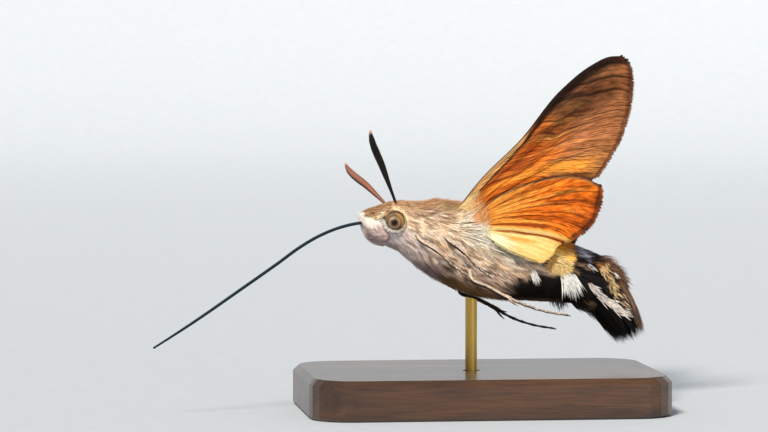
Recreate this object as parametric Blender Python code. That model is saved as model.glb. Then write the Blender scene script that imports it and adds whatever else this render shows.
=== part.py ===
"""Hummingbird hawk moth, life size, hovering on a small display stand.

The moth is modelled in its own frame in millimetres: +X runs back along the body, +Y to its right,
+Z up, with the origin in the middle of the thorax. An empty then banks, pitches and lifts it over the stand.
The row's origin is the centre of the stand's underside, +Z up, and the head points to -X.
"""

import math

import bmesh
import bpy
import numpy as np
from mathutils import Matrix, Vector

MM = 0.001
GAP = 0.3  # clearance between touching pieces, mm

# Pose on the stand
BANK_DEG = -17.0  # left side up, so that the belly shows from the left
PITCH_DEG = 15.0  # head up, tail down
MOTH_AT = (-3.0, 0.0, 17.0)

# Body outline, coat included: x, top, bottom, half width, in mm
BODY_STATIONS = (
    (-8.4, 0.85, -1.10, 0.70),
    (-7.8, 1.45, -1.80, 1.35),
    (-7.0, 2.10, -2.12, 1.80),
    (-6.0, 2.62, -2.32, 2.15),
    (-5.0, 2.86, -2.50, 2.30),
    (-4.0, 3.12, -2.92, 2.55),
    (-2.8, 3.62, -3.50, 3.05),
    (-1.0, 4.05, -4.22, 3.55),
    (1.0, 4.28, -4.65, 3.75),
    (3.5, 4.22, -4.98, 3.75),
    (6.0, 4.00, -4.75, 3.60),
    (9.0, 3.50, -4.10, 3.40),
    (12.0, 2.92, -3.45, 3.15),
    (14.0, 2.60, -3.05, 2.95),
    (15.8, 1.95, -2.95, 2.60),
)
HEAD_X = (-8.4, -4.85)
THORAX_X = (-4.55, 4.55)
ABDOMEN_X = (4.85, 15.6)
SEGMENT_LENGTH = 1.55
SEGMENT_CREASE = 0.10
RING_SIDES = 28

# Head
EYE_RADIUS = 1.15
EYE_AT = (-6.35, 1.72, -0.15)
PALP_LINE = ((-6.4, 1.0, -1.85), (-7.5, 0.95, -1.35), (-8.6, 0.75, -0.40), (-9.4, 0.45, 0.30))
PALP_RADII = (0.45, 0.66, 0.70, 0.58, 0.25)
ANTENNA_BASE = (-6.35, 0.95, 2.25)
ANTENNA_TIP = (-11.0, 6.5, 6.6)
ANTENNA_RADII = (0.26, 0.30, 0.36, 0.44, 0.50, 0.46, 0.16)
PROBOSCIS_RADIUS = 0.25
PROBOSCIS_LENGTH = 25.0
PROBOSCIS_SHOWN = ((-7.9, -0.25), (-9.1, -0.62), (-11.1, -1.65), (-12.9, -3.0), (-14.6, -4.7), (-16.2, -6.65))
PROBOSCIS_HIDDEN = ((-19.3, -10.3), (-23.0, -14.6), (-27.5, -19.5))

# Wings: outlines in the wing's own plane, a back along the body and b out along the span
WING_TILT_DEG = 16.0  # each wing leans out this far from upright
MEMBRANE = 0.5
VEIN_HEIGHT = 0.1
ROOT_DIVE = 1.3
FOREWING_ROOT = (1.5, 3.3, 2.3)
FOREWING_COSTA = ((-2.1, -0.3), (-0.5, 3.4), (2.4, 8.3), (5.0, 14.0), (7.3, 17.1), (8.8, 18.35), (10.0, 18.75))
FOREWING_TERMEN = ((10.0, 18.75), (10.9, 18.1), (11.7, 16.4), (12.1, 14.0), (12.0, 11.0), (11.4, 8.6), (10.7, 6.7))
FOREWING_DORSUM = ((0.2, -0.4), (2.6, 2.4), (6.2, 4.9), (10.7, 6.7))
FOREWING_VEINS = (0.0, 0.055, 0.115, 0.24, 0.37, 0.48, 0.60, 0.72, 0.85, 1.0)
HINDWING_ROOT = (1.5, 4.15, 1.2)
HINDWING_COSTA = ((-0.7, 0.3), (1.7, 3.3), (5.2, 5.8), (9.0, 7.05), (11.2, 6.8))
HINDWING_TERMEN = ((11.2, 6.8), (11.55, 5.0), (11.1, 2.6), (9.9, 1.1), (8.5, -0.1), (8.0, -1.5), (7.2, -2.4))
HINDWING_ANAL = ((0.7, -0.9), (3.6, -1.9), (5.4, -2.2), (7.2, -2.4))
HINDWING_VEINS = (0.0, 0.13, 0.27, 0.41, 0.54, 0.66, 0.80, 1.0)

# Legs: body station x, angle round the body from the top, height over the coat
LEG_RADIUS = 0.28
LEG_LIFT = GAP + LEG_RADIUS + 0.06
FORELEG = ((-3.3, 118.0), (-1.6, 122.0), (0.2, 131.0), (2.0, 137.0))
MIDLEG = ((-0.6, 106.0), (0.9, 112.0), (2.6, 122.0), (4.4, 130.0))
HINDLEG = ((2.6, 139.0), (4.2, 142.0))
HINDLEG_FREE = ((6.0, 2.55, -4.85), (8.2, 2.95, -5.35), (10.5, 3.10, -5.50), (12.8, 3.15, -5.30))

# Tufts on the flanks: station x, angle, length, width, how far the tip stands off
FLANK_TUFTS = (
    (9.3, 104.0, 2.2, 1.0, 0.45),
    (11.6, 96.0, 2.5, 1.1, 0.75),
    (12.3, 99.0, 3.0, 1.3, 0.85),
    (13.0, 103.0, 2.6, 1.2, 0.75),
    (14.6, 108.0, 3.0, 1.2, 0.60),
    (10.6, 122.0, 2.2, 1.3, 0.35),
    (13.4, 128.0, 2.4, 1.3, 0.40),
)
FAN_TOP_VANES = 9
FAN_UNDER_VANES = 8
FAN_VANE_WIDTH = 1.35
FAN_VANE_THICKNESS = 0.55
FAN_CORE = ((15.9, -0.55, 2.35, 2.45), (16.8, -1.15, 2.05, 2.35), (17.8, -2.2, 1.45, 1.9), (18.6, -3.2, 0.75, 1.2))

# Stand
BASE_SIZE = (36.0, 24.0, 4.0)
BASE_CORNER = 4.0
BASE_BEVEL = 0.6
ROD_AT = (-1.0, -1.0)
ROD_RADIUS = 0.6
SOCKET_DEPTH = 2.6


def clear_scene():
    for obj in list(bpy.data.objects):
        bpy.data.objects.remove(obj, do_unlink=True)


def material(name, colour, roughness, metallic=0.0):
    made = bpy.data.materials.new(name)
    made.use_nodes = True
    shader = made.node_tree.nodes["Principled BSDF"]
    shader.inputs["Base Color"].default_value = (*colour, 1.0)
    shader.inputs["Roughness"].default_value = roughness
    shader.inputs["Metallic"].default_value = metallic
    return made


def hermite(table, x):
    """Row of the table at x, smoothly between its rows. The first column is the place."""
    rows = np.asarray(table, float)
    places = rows[:, 0]
    slopes = np.gradient(rows, places, axis=0)
    x = min(max(x, places[0]), places[-1])
    i = min(int(np.searchsorted(places, x, side="right")) - 1, len(rows) - 2)
    span = places[i + 1] - places[i]
    t = (x - places[i]) / span
    return (
        (2 * t**3 - 3 * t**2 + 1) * rows[i]
        + (t**3 - 2 * t**2 + t) * span * slopes[i]
        + (3 * t**2 - 2 * t**3) * rows[i + 1]
        + (t**3 - t**2) * span * slopes[i + 1]
    )


def smooth_path(points, count):
    """count points spaced evenly by length on one smooth curve through the given points."""
    points = np.asarray(points, float)
    steps = np.concatenate([[0.0], np.cumsum(np.linalg.norm(np.diff(points, axis=0), axis=1))])
    table = np.column_stack([steps, points])
    fine = np.array([hermite(table, s)[1:] for s in np.linspace(0, steps[-1], 12 * len(points))])
    run = np.concatenate([[0.0], np.cumsum(np.linalg.norm(np.diff(fine, axis=0), axis=1))])
    even = np.linspace(0, run[-1], count)
    return np.column_stack([np.interp(even, run, fine[:, k]) for k in range(points.shape[1])])


def body_middle(x):
    """Height of the body's widest level at station x."""
    top, bottom = hermite(BODY_STATIONS, x)[1:3]
    return bottom + 0.52 * (top - bottom)


def body_point(x, angle_deg, lift=0.0, side=-1):
    """A point of the coat's surface at station x, angle_deg round from the top, lifted off it. side -1 is the left."""
    top, bottom, half = hermite(BODY_STATIONS, x)[1:4]
    middle = body_middle(x)
    a = math.radians(angle_deg)
    up = (top - middle) if math.cos(a) > 0 else (middle - bottom)
    return np.array([x, side * (half + lift) * math.sin(a), middle + (up + lift) * math.cos(a)])


def mesh_object(name, points, faces, finish, moth):
    """A closed mesh from points in mm, facing out, parented to the moth's empty if one is given."""
    bm = bmesh.new()
    verts = [bm.verts.new(Vector(p) * MM) for p in points]
    for face in faces:
        bm.faces.new([verts[i] for i in face])
    bmesh.ops.recalc_face_normals(bm, faces=bm.faces)
    mesh = bpy.data.meshes.new(name)
    bm.to_mesh(mesh)
    bm.free()
    mesh.shade_smooth()
    obj = bpy.data.objects.new(name, mesh)
    bpy.context.scene.collection.objects.link(obj)
    if finish:
        mesh.materials.append(finish)
    obj.parent = moth
    return obj


def loft_mesh(rings):
    """Points and triangles of a closed skin over rings of equal count, with a fan over each end."""
    count = len(rings[0])
    points = [p for ring in rings for p in ring]
    faces = []
    for r in range(len(rings) - 1):
        for k in range(count):
            a, b = r * count + k, r * count + (k + 1) % count
            faces += [(a, b, b + count), (a, b + count, a + count)]
    for ring in (0, len(rings) - 1):
        middle = len(points)
        points.append(np.mean(rings[ring], axis=0))
        first = ring * count
        faces += [(middle, first + k, first + (k + 1) % count) for k in range(count)]
    return points, faces


def tube_mesh(path, radii, sides, flatten=1.0):
    """A closed tube along the path. flatten below 1 squashes it across its second side."""
    path = np.asarray(path, float)
    rings = []
    across = None
    for i, here in enumerate(path):
        ahead = path[min(i + 1, len(path) - 1)] - path[max(i - 1, 0)]
        ahead /= np.linalg.norm(ahead)
        if across is None:
            across = np.cross(ahead, (0.0, 0.0, 1.0) if abs(ahead[2]) < 0.9 else (0.0, 1.0, 0.0))
        across = across - ahead * (across @ ahead)
        across /= np.linalg.norm(across)
        second = np.cross(ahead, across)
        turns = (2 * math.pi * k / sides for k in range(sides))
        rings.append([here + radii[i] * (math.cos(t) * across + flatten * math.sin(t) * second) for t in turns])
    return loft_mesh(rings)


def along(values, count):
    """count numbers read evenly along a short list of values."""
    return np.interp(np.linspace(0, 1, count), np.linspace(0, 1, len(values)), values)


def boolean(obj, other, operation):
    """Applies one Boolean with another object or a collection of them."""
    cut = obj.modifiers.new(operation, "BOOLEAN")
    cut.operation = operation
    cut.solver = "EXACT"
    if isinstance(other, bpy.types.Collection):
        cut.operand_type = "COLLECTION"
        cut.collection = other
    else:
        cut.object = other
    graph = bpy.context.evaluated_depsgraph_get()
    made = bpy.data.meshes.new_from_object(obj.evaluated_get(graph))
    obj.modifiers.clear()
    obj.data = made
    keep_largest_shell(obj)
    return obj


def keep_largest_shell(obj):
    """Leaves the largest closed surface, which fills a sealed hollow and drops a loose scrap."""
    bm = bmesh.new()
    bm.from_mesh(obj.data)
    bmesh.ops.remove_doubles(bm, verts=bm.verts, dist=1e-7)
    left = set(bm.verts)
    shells = []
    while left:
        todo = [left.pop()]
        shell = set(todo)
        while todo:
            for edge in todo.pop().link_edges:
                for vert in edge.verts:
                    if vert in left:
                        left.discard(vert)
                        shell.add(vert)
                        todo.append(vert)
        shells.append(shell)

    def size(shell):
        places = np.array([v.co for v in shell])
        return float(np.prod(places.max(axis=0) - places.min(axis=0) + 1e-6))

    largest = max(shells, key=size)
    bmesh.ops.delete(bm, geom=[v for v in bm.verts if v not in largest], context="VERTS")
    bmesh.ops.triangulate(bm, faces=bm.faces)
    bm.to_mesh(obj.data)
    bm.free()


def fuse(obj, pieces):
    """Joins the pieces to the object in one union and removes them."""
    group = bpy.data.collections.new(obj.name + "_pieces")
    bpy.context.scene.collection.children.link(group)
    for piece in pieces:
        bpy.context.scene.collection.objects.unlink(piece)
        group.objects.link(piece)
    bpy.context.view_layer.update()
    boolean(obj, group, "UNION")
    for piece in pieces:
        bpy.data.objects.remove(piece, do_unlink=True)
    bpy.data.collections.remove(group)
    return obj


def body_rings(x_range, rings, inflate=0.0, ease=0.0):
    """Rings of the body between two stations. ease rounds the ends over that length."""
    made = []
    for x in np.linspace(*x_range, rings):
        edge = min(x - x_range[0], x_range[1] - x)
        shrink = 1.0 if ease == 0 or edge >= ease else 0.86 + 0.14 * math.sqrt(max(edge, 0) / ease)
        middle = body_middle(x)
        ring = []
        for k in range(RING_SIDES):
            point = body_point(x, 360.0 * k / RING_SIDES, inflate)
            ring.append(np.array([x, point[1] * shrink, middle + (point[2] - middle) * shrink]))
        made.append(ring)
    return made


def clearance_cutter(moth):
    """The whole body grown by the gap: what everything that grows from the body is trimmed with."""
    first, last = BODY_STATIONS[0][0], BODY_STATIONS[-1][0]
    rings = body_rings((first, last), 40, GAP)
    cutter = mesh_object("body_clearance", *loft_mesh(rings), None, moth)
    cutter.hide_render = True
    cutter.display_type = "WIRE"
    return cutter


def ball(name, centre, radius, finish, moth, rows=10, columns=16, squash=(1, 1, 1)):
    """A closed sphere, or an egg if squash says so."""
    rings = []
    for r in range(1, rows):
        polar = math.pi * r / rows
        turns = (2 * math.pi * k / columns for k in range(columns))
        rings.append(
            [
                np.asarray(centre)
                + radius
                * np.array(
                    [
                        squash[0] * math.sin(polar) * math.cos(t),
                        squash[1] * math.cos(polar),
                        squash[2] * math.sin(polar) * math.sin(t),
                    ]
                )
                for t in turns
            ]
        )
    points, faces = loft_mesh(rings)
    points[-2] = np.asarray(centre) + np.array([0, squash[1] * radius, 0])
    points[-1] = np.asarray(centre) - np.array([0, squash[1] * radius, 0])
    return mesh_object(name, points, faces, finish, moth)


def mirrored(point, side):
    return np.array([point[0], side * point[1], point[2]])


def head_and_eyes(moth, coat, eye_finish):
    """The head capsule with a socket on each side, and an eye in each."""
    head = mesh_object("head", *loft_mesh(body_rings(HEAD_X, 12, ease=0.5)), coat, moth)
    for side, word in ((-1, "left"), (1, "right")):
        at = mirrored(EYE_AT, side)
        socket = ball("socket", at, EYE_RADIUS + GAP, None, moth)
        bpy.context.view_layer.update()
        boolean(head, socket, "DIFFERENCE")
        bpy.data.objects.remove(socket, do_unlink=True)
        ball("eye_" + word, at, EYE_RADIUS, eye_finish, moth, 12, 20)
    return head


def palp(side, word, moth, coat, channel):
    """A labial palp: a scaled, upturned lobe that lies along the face and makes the pointed snout."""
    path = smooth_path(PALP_LINE, 10)
    radii = along(PALP_RADII, len(path))
    path = [mirrored(p, side) for p in path]
    obj = mesh_object("palp_" + word, *tube_mesh(path, radii, 12), coat, moth)
    boolean(obj, channel, "DIFFERENCE")
    return obj


def proboscis_path():
    """The feeding tube's middle line, in the plane of symmetry, cut to its real length."""
    points = [(x, 0.0, z) for x, z in (*PROBOSCIS_SHOWN, *PROBOSCIS_HIDDEN)]
    fine = smooth_path(points, 240)
    run = np.concatenate([[0.0], np.cumsum(np.linalg.norm(np.diff(fine, axis=0), axis=1))])
    inside = 1.2  # the length hidden between the palps
    ends = np.linspace(0, inside + PROBOSCIS_LENGTH, 44)
    return np.column_stack([np.interp(ends, run, fine[:, k]) for k in range(3)])


def proboscis(moth, finish, grow=0.0):
    path = proboscis_path()
    radii = (PROBOSCIS_RADIUS + grow) * along((1.0, 1.0, 1.0, 1.0, 1.0, 0.98, 0.9, 0.7), len(path))
    return mesh_object("proboscis", *tube_mesh(path, radii, 8), finish, moth)


def antenna(side, word, moth, finish):
    """A feeler that thickens into a long club and ends in a small hooked point."""
    base, tip = np.array(ANTENNA_BASE), np.array(ANTENNA_TIP)
    away = (tip - base) / np.linalg.norm(tip - base)
    sunk = base - 0.5 * away + np.array([0.1, 0.0, -0.5])
    bow = np.array([-0.25, 0.05, 0.22])
    points = [sunk, base, base + 0.5 * (tip - base) + bow, tip, tip + np.array([-0.12, 0.16, 0.42])]
    path = smooth_path([mirrored(p, side) for p in points], 22)
    return mesh_object("antenna_" + word, *tube_mesh(path, along(ANTENNA_RADII, 22), 10), finish, moth)


def coons(costa, margin, inner, u, v):
    """A point of the wing's plane: v runs out from the root, u from the leading edge to the trailing one."""
    rooted = (1 - u) * costa(0.0) + u * inner(0.0)
    straight = (1 - v) * rooted + v * margin(u)
    lead = costa(v) - (1 - v) * costa(0.0) - v * costa(1.0)
    trail = inner(v) - (1 - v) * inner(0.0) - v * inner(1.0)
    return straight + (1 - u) * lead + u * trail


def curve_of(points):
    """A function of 0 to 1 along the smooth curve through the points."""
    fine = smooth_path(points, 200)
    places = np.linspace(0, 1, len(fine))
    return lambda t: np.array([np.interp(t, places, fine[:, 0]), np.interp(t, places, fine[:, 1])])


def wing_place(plane_point, root, lift, dive, side):
    """From the wing's plane to the moth's frame. The wing leans out, cups a little, and flares round the body."""
    a, b = plane_point
    tilt = math.radians(WING_TILT_DEG)
    flare = 0.18 * (math.sqrt((b - 0.4) ** 2 + 0.36) - (b - 0.4))
    cup = 0.0022 * max(b, 0.0) ** 2
    out = root[1] + b * math.sin(tilt) + flare + cup - dive + lift
    return np.array([root[0] + a, side * out, root[2] + b * math.cos(tilt) - lift * math.tan(tilt)])


def wing(name, side, outline, veins, root, rows, moth, finish):
    """A plate with its veins raised on both faces, each face split into the same triangles."""
    costa, margin, inner = (curve_of(points) for points in outline)
    columns, heights = [], []
    for k, vein in enumerate(veins):
        spread = 0.018
        for u, height in ((vein - spread, 0.0), (vein, 1.0), (vein + spread, 0.0)):
            if 0.0 <= u <= 1.0:
                columns.append(u)
                heights.append(height)
        if k + 1 < len(veins) and veins[k + 1] - vein > 0.1:
            columns.append((vein + veins[k + 1]) / 2)
            heights.append(0.0)
    places = np.linspace(0.0, 1.0, rows) ** 0.85
    points = []
    for face in (1, -1):
        for v in places:
            for u, height in zip(columns, heights):
                ridge = VEIN_HEIGHT * height * (1 - 0.7 * v) * min(1.0, v / 0.15)
                dive = ROOT_DIVE * math.exp(-v * 14.0)
                half = MEMBRANE / 2 + ridge - 0.12 * v**4
                points.append(wing_place(coons(costa, margin, inner, u, v), root, face * half, dive, side))
    width, total = len(columns), len(columns) * rows
    faces = []
    for j in range(rows - 1):
        for i in range(width - 1):
            a, b = j * width + i, j * width + i + 1
            c, d = b + width, a + width
            faces += [(a, b, c), (a, c, d), (a + total, c + total, b + total), (a + total, d + total, c + total)]
    rim = [i for i in range(width)]
    rim += [j * width + width - 1 for j in range(1, rows)]
    rim += [(rows - 1) * width + i for i in range(width - 2, -1, -1)]
    rim += [j * width for j in range(rows - 2, 0, -1)]
    for here, after in zip(rim, rim[1:] + rim[:1]):
        faces += [(here, after, after + total), (here, after + total, here + total)]
    return mesh_object(name, points, faces, finish, moth)


def leg_path(stations, side, free=()):
    """From inside the body, out through the coat, and back along it."""
    first = stations[0]
    points = [body_point(first[0] - 0.5, first[1] - 8, -0.9, side)]
    points += [body_point(x, angle, LEG_LIFT, side) for x, angle in stations]
    points += [mirrored(p, side) for p in free]
    return points


def leg(name, side, stations, free, moth, finish, cutter):
    """A folded leg as one bent tube, with its joints swollen and a pair of spurs where it is free."""
    count = 16 + 3 * len(free)
    path = smooth_path(leg_path(stations, side, free), count)
    swell = 1 + 0.10 * np.cos(np.linspace(0, 6 * math.pi, count))
    taper = np.linspace(1.08, 0.62 if free else 0.85, count)
    obj = mesh_object(name, *tube_mesh(path, LEG_RADIUS * swell * taper, 8), finish, moth)
    if free:
        knee = path[int(0.47 * count)]
        spurs = []
        for turn in (-0.35, 0.30):
            tip = knee + np.array([1.25, side * (0.25 + turn), -0.45 - turn])
            spur = smooth_path([knee, (knee + tip) / 2 + np.array([0, 0, -0.08]), tip], 5)
            spurs.append(mesh_object("spur", *tube_mesh(spur, (0.24, 0.22, 0.18, 0.13, 0.07), 6), None, moth))
        fuse(obj, spurs)
    bpy.context.view_layer.update()
    return boolean(obj, cutter, "DIFFERENCE")


def vane(root, tip, face_out, width, thickness, moth, rows=5):
    """A flat, tapered lock of long scales from root to tip, bowed to the way it faces."""
    root, tip, face_out = (np.asarray(p, float) for p in (root, tip, face_out))
    ahead = tip - root
    length = np.linalg.norm(ahead)
    across = np.cross(ahead, face_out)
    across /= np.linalg.norm(across)
    normal = np.cross(across, ahead / length)
    rings = []
    for t in np.linspace(0, 1, rows):
        here = root + ahead * t + normal * 0.10 * length * math.sin(math.pi * t)
        half = width / 2 * (0.72 + 0.5 * math.sin(math.pi * min(t * 1.1, 1.0))) * (1 - 0.72 * t**3)
        deep = thickness / 2 * (1 - 0.6 * t**2)
        rings.append([here - across * half, here + normal * deep, here + across * half, here - normal * deep])
    return mesh_object("vane", *loft_mesh(rings), None, moth)


def flank_locks(moth):
    """The tufts along both flanks of the hind body, rooted under the coat and standing a little off it."""
    made = []
    for x, angle, length, width, stand in FLANK_TUFTS:
        for side in (-1, 1):
            root = body_point(x, angle, -0.75, side)
            tip = body_point(min(x + 0.52 * length, 15.4), angle + 22.0, stand, side)
            outward = body_point(x, angle, 1.0, side) - body_point(x, angle, 0.0, side)
            made.append(vane(root, tip, outward, width, 0.6, moth))
    return made


def abdomen(moth, coat):
    """The hind body with a shallow crease at each segment and its flank tufts."""
    rings = body_rings(ABDOMEN_X, 24, ease=0.6)
    for ring in rings:
        depth = SEGMENT_CREASE * max(0.0, math.cos(2 * math.pi * (ring[0][0] - ABDOMEN_X[0]) / SEGMENT_LENGTH)) ** 6
        middle = body_middle(ring[0][0])
        for k, point in enumerate(ring):
            radial = np.array([0.0, point[1], point[2] - middle])
            ring[k] = point - depth * radial / max(np.linalg.norm(radial), 1e-6)
    obj = mesh_object("abdomen", *loft_mesh(rings), coat, moth)
    return fuse(obj, flank_locks(moth))


def tail_fan(moth, finish):
    """The tail's brush: overlapping vanes in an upper and an under tier on a tapering core."""
    rings = []
    for x, z, high, half in FAN_CORE:
        lean = math.radians(np.interp(x, (15.9, 18.6), (0.0, 42.0)))
        turns = (2 * math.pi * k / 18 for k in range(18))
        rings.append(
            [
                np.array([x - high * math.cos(t) * -math.sin(lean), half * math.sin(t), z + high * math.cos(t) * math.cos(lean)])
                for t in turns
            ]
        )
    core = mesh_object("tail_fan", *loft_mesh(rings), finish, moth)
    vanes = []
    for share in np.linspace(-1, 1, FAN_TOP_VANES):
        root = (16.9, 1.75 * share, -0.25 - 0.55 * share**2)
        tip = (21.35 - 1.3 * share**2, 2.7 * share, -4.55 - 0.25 * share**2)
        vanes.append(vane(root, tip, (0.7, 0.35 * share, 0.7), FAN_VANE_WIDTH, FAN_VANE_THICKNESS, moth))
    for share in np.linspace(-1, 1, FAN_UNDER_VANES):
        root = (16.75, 1.6 * share, -2.0 + 0.3 * share**2)
        tip = (19.7 - 0.5 * share**2, 2.3 * share, -5.65 + 0.35 * share**2)
        vanes.append(vane(root, tip, (0.7, 0.4 * share, 0.5), FAN_VANE_WIDTH, FAN_VANE_THICKNESS, moth))
    return fuse(core, vanes)


def stand(finish_base, finish_rod, cutter):
    """A plate with rounded corners and one upright rod that stands in a socket and ends under the thorax."""
    half_x, half_y, high = BASE_SIZE[0] / 2, BASE_SIZE[1] / 2, BASE_SIZE[2]
    outline = []
    for quarter, (sx, sy) in enumerate(((1, 1), (-1, 1), (-1, -1), (1, -1))):
        for k in range(6):
            t = math.pi / 2 * (quarter + k / 5)
            corner = np.array([sx * (half_x - BASE_CORNER), sy * (half_y - BASE_CORNER)])
            outline.append(corner + BASE_CORNER * np.array([math.cos(t), math.sin(t)]))
    rings = []
    for inset, z in ((0.25, 0.0), (0.0, 0.25), (0.0, high - BASE_BEVEL), (BASE_BEVEL, high)):
        scale = np.array([1 - inset / half_x, 1 - inset / half_y])
        rings.append([(*(p * scale), z) for p in outline])
    base = mesh_object("stand_base", *loft_mesh([[np.array(p) for p in ring] for ring in rings]), finish_base, None)

    def upright(name, radius, low, top, finish):
        path = [(*ROD_AT, z) for z in (low, top)]
        return mesh_object(name, *tube_mesh(path, (radius, radius), 16), finish, None)

    socket = upright("socket", ROD_RADIUS + GAP, high - SOCKET_DEPTH - GAP, high + 2, None)
    rod = upright("stand_rod", ROD_RADIUS, high - SOCKET_DEPTH, MOTH_AT[2], finish_rod)
    bpy.context.view_layer.update()
    boolean(base, socket, "DIFFERENCE")
    bpy.data.objects.remove(socket, do_unlink=True)
    boolean(rod, cutter, "DIFFERENCE")
    for obj in (base, rod):
        obj.data.set_sharp_from_angle(angle=math.radians(35))


def main():
    clear_scene()
    moth = bpy.data.objects.new("moth_pose", None)
    bpy.context.scene.collection.objects.link(moth)

    coat = material("coat", (0.30, 0.21, 0.15), 0.9)
    dark_coat = material("tail_coat", (0.05, 0.035, 0.03), 0.85)
    eye_finish = material("eye", (0.22, 0.14, 0.07), 0.25)
    feeler = material("feeler", (0.035, 0.03, 0.03), 0.6)
    forewing_finish = material("forewing", (0.38, 0.15, 0.05), 0.7)
    hindwing_finish = material("hindwing", (0.72, 0.26, 0.05), 0.7)
    leg_finish = material("leg", (0.30, 0.19, 0.13), 0.75)
    wood = material("stand_wood", (0.05, 0.03, 0.02), 0.45)
    brass = material("stand_metal", (0.55, 0.42, 0.2), 0.3, 1.0)

    moth.rotation_euler = (math.radians(BANK_DEG), math.radians(PITCH_DEG), 0.0)
    moth.location = Vector(MOTH_AT) * MM
    cutter = clearance_cutter(moth)
    bpy.context.view_layer.update()

    head = head_and_eyes(moth, coat, eye_finish)
    channel = proboscis(moth, None, GAP)
    channel.name = "proboscis_clearance"
    bpy.context.view_layer.update()
    boolean(head, channel, "DIFFERENCE")
    for side, word in ((-1, "left"), (1, "right")):
        boolean(palp(side, word, moth, coat, channel), cutter, "DIFFERENCE")
    bpy.data.objects.remove(channel, do_unlink=True)
    proboscis(moth, feeler)

    mesh_object("thorax", *loft_mesh(body_rings(THORAX_X, 22, ease=0.5)), coat, moth)
    abdomen(moth, coat)
    tail_fan(moth, dark_coat)

    fore = (FOREWING_COSTA, FOREWING_TERMEN, FOREWING_DORSUM)
    hind = (HINDWING_COSTA, HINDWING_TERMEN, HINDWING_ANAL)
    for side, word in ((-1, "left"), (1, "right")):
        pieces = [
            wing("forewing_" + word, side, fore, FOREWING_VEINS, FOREWING_ROOT, 12, moth, forewing_finish),
            wing("hindwing_" + word, side, hind, HINDWING_VEINS, HINDWING_ROOT, 10, moth, hindwing_finish),
            antenna(side, word, moth, feeler),
        ]
        bpy.context.view_layer.update()
        for piece in pieces:
            boolean(piece, cutter, "DIFFERENCE")
        leg("foreleg_" + word, side, FORELEG, (), moth, leg_finish, cutter)
        leg("midleg_" + word, side, MIDLEG, (), moth, leg_finish, cutter)
        leg("hindleg_" + word, side, HINDLEG, HINDLEG_FREE, moth, leg_finish, cutter)

    stand(wood, brass, cutter)


main()
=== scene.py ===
# %% [markdown]
# # A hummingbird hawk moth, from CAD solids to fur, scales and light
#
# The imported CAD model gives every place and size. This script dresses it: one skin takes the place of the
# solid head, thorax and abdomen, thousands of small locks make the coat, and the wings get scales, veins
# and fringes. The moth is modelled in its own frame in millimetres, with X back along the body, Y to its
# right and Z up.

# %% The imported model
import math

import bpy
import numpy as np
from mathutils import Matrix, Vector


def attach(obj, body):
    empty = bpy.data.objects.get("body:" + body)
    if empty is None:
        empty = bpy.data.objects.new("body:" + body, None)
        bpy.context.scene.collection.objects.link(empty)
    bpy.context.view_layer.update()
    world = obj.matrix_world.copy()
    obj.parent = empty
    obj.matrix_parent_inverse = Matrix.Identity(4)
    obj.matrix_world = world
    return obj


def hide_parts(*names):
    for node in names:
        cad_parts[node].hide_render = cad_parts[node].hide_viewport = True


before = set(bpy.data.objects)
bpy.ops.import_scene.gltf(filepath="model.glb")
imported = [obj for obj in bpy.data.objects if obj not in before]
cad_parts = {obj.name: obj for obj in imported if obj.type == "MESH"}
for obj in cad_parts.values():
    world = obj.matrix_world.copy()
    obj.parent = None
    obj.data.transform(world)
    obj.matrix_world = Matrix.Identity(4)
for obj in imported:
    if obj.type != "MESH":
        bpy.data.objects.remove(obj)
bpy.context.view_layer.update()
MM = 0.001
print("CAD nodes:", ", ".join(sorted(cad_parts)))

# %% [markdown]
# ## The pose
#
# The moth hangs banked and pitched over its stand. One rotation and one place carry any point of the
# moth's own frame into the row's frame, so that everything below can be thought out on a level, straight
# insect.

# %% The pose
BANK = math.radians(-17.0)
PITCH = math.radians(15.0)
MOTH_AT = np.array([-3.0, 0.0, 17.0])
TURN = np.array(Matrix.Rotation(PITCH, 3, "Y") @ Matrix.Rotation(BANK, 3, "X"))


def to_row(points):
    """Moth millimetres to row metres, for one point or an array of them."""
    return (np.asarray(points, float) @ TURN.T + MOTH_AT) * MM


# %% [markdown]
# ## Camera, floor and light
#
# The photo was taken from the moth's left with a long lens. The camera stands 400 mm off, a little above
# the floor's level, and 36 mm of sensor width show 76.8 mm of the subject.

# %% Camera, lights and world
AZIMUTH = math.radians(-7.0)
ELEVATION = math.radians(3.0)
DISTANCE = 400.0
VIEW_WIDTH = 76.8
PHOTO_SIZE = (768, 432)
MOTH_PIXEL = (450.0, 240.0)  # where the middle of the thorax is in the photo

to_camera = np.array(
    [
        math.sin(AZIMUTH) * math.cos(ELEVATION),
        -math.cos(AZIMUTH) * math.cos(ELEVATION),
        math.sin(ELEVATION),
    ]
)
rightward = np.array([math.cos(AZIMUTH), math.sin(AZIMUTH), 0.0])
upward = np.cross(to_camera, rightward)
pixel = VIEW_WIDTH / PHOTO_SIZE[0]
target = (
    MOTH_AT
    + rightward * (PHOTO_SIZE[0] / 2 - MOTH_PIXEL[0]) * pixel
    + upward * (MOTH_PIXEL[1] - PHOTO_SIZE[1] / 2) * pixel
)
camera_data = bpy.data.cameras.new("camera")
camera_data.sensor_width = 36.0
camera_data.lens = camera_data.sensor_width * DISTANCE / VIEW_WIDTH
camera_data.clip_start = 0.01
camera = bpy.data.objects.new("camera", camera_data)
bpy.context.scene.collection.objects.link(camera)
camera.location = Vector((target + to_camera * DISTANCE) * MM)
camera.rotation_euler = Vector(to_camera).to_track_quat("Z", "Y").to_euler()
bpy.context.scene.camera = camera


def aim(lamp, place):
    """Puts a lamp at a place in mm and turns it towards the moth."""
    bpy.context.scene.collection.objects.link(lamp)
    lamp.location = Vector(np.array(place) * MM)
    lamp.rotation_euler = (Vector(MOTH_AT * MM) - lamp.location).to_track_quat("-Z", "Y").to_euler()


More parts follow.
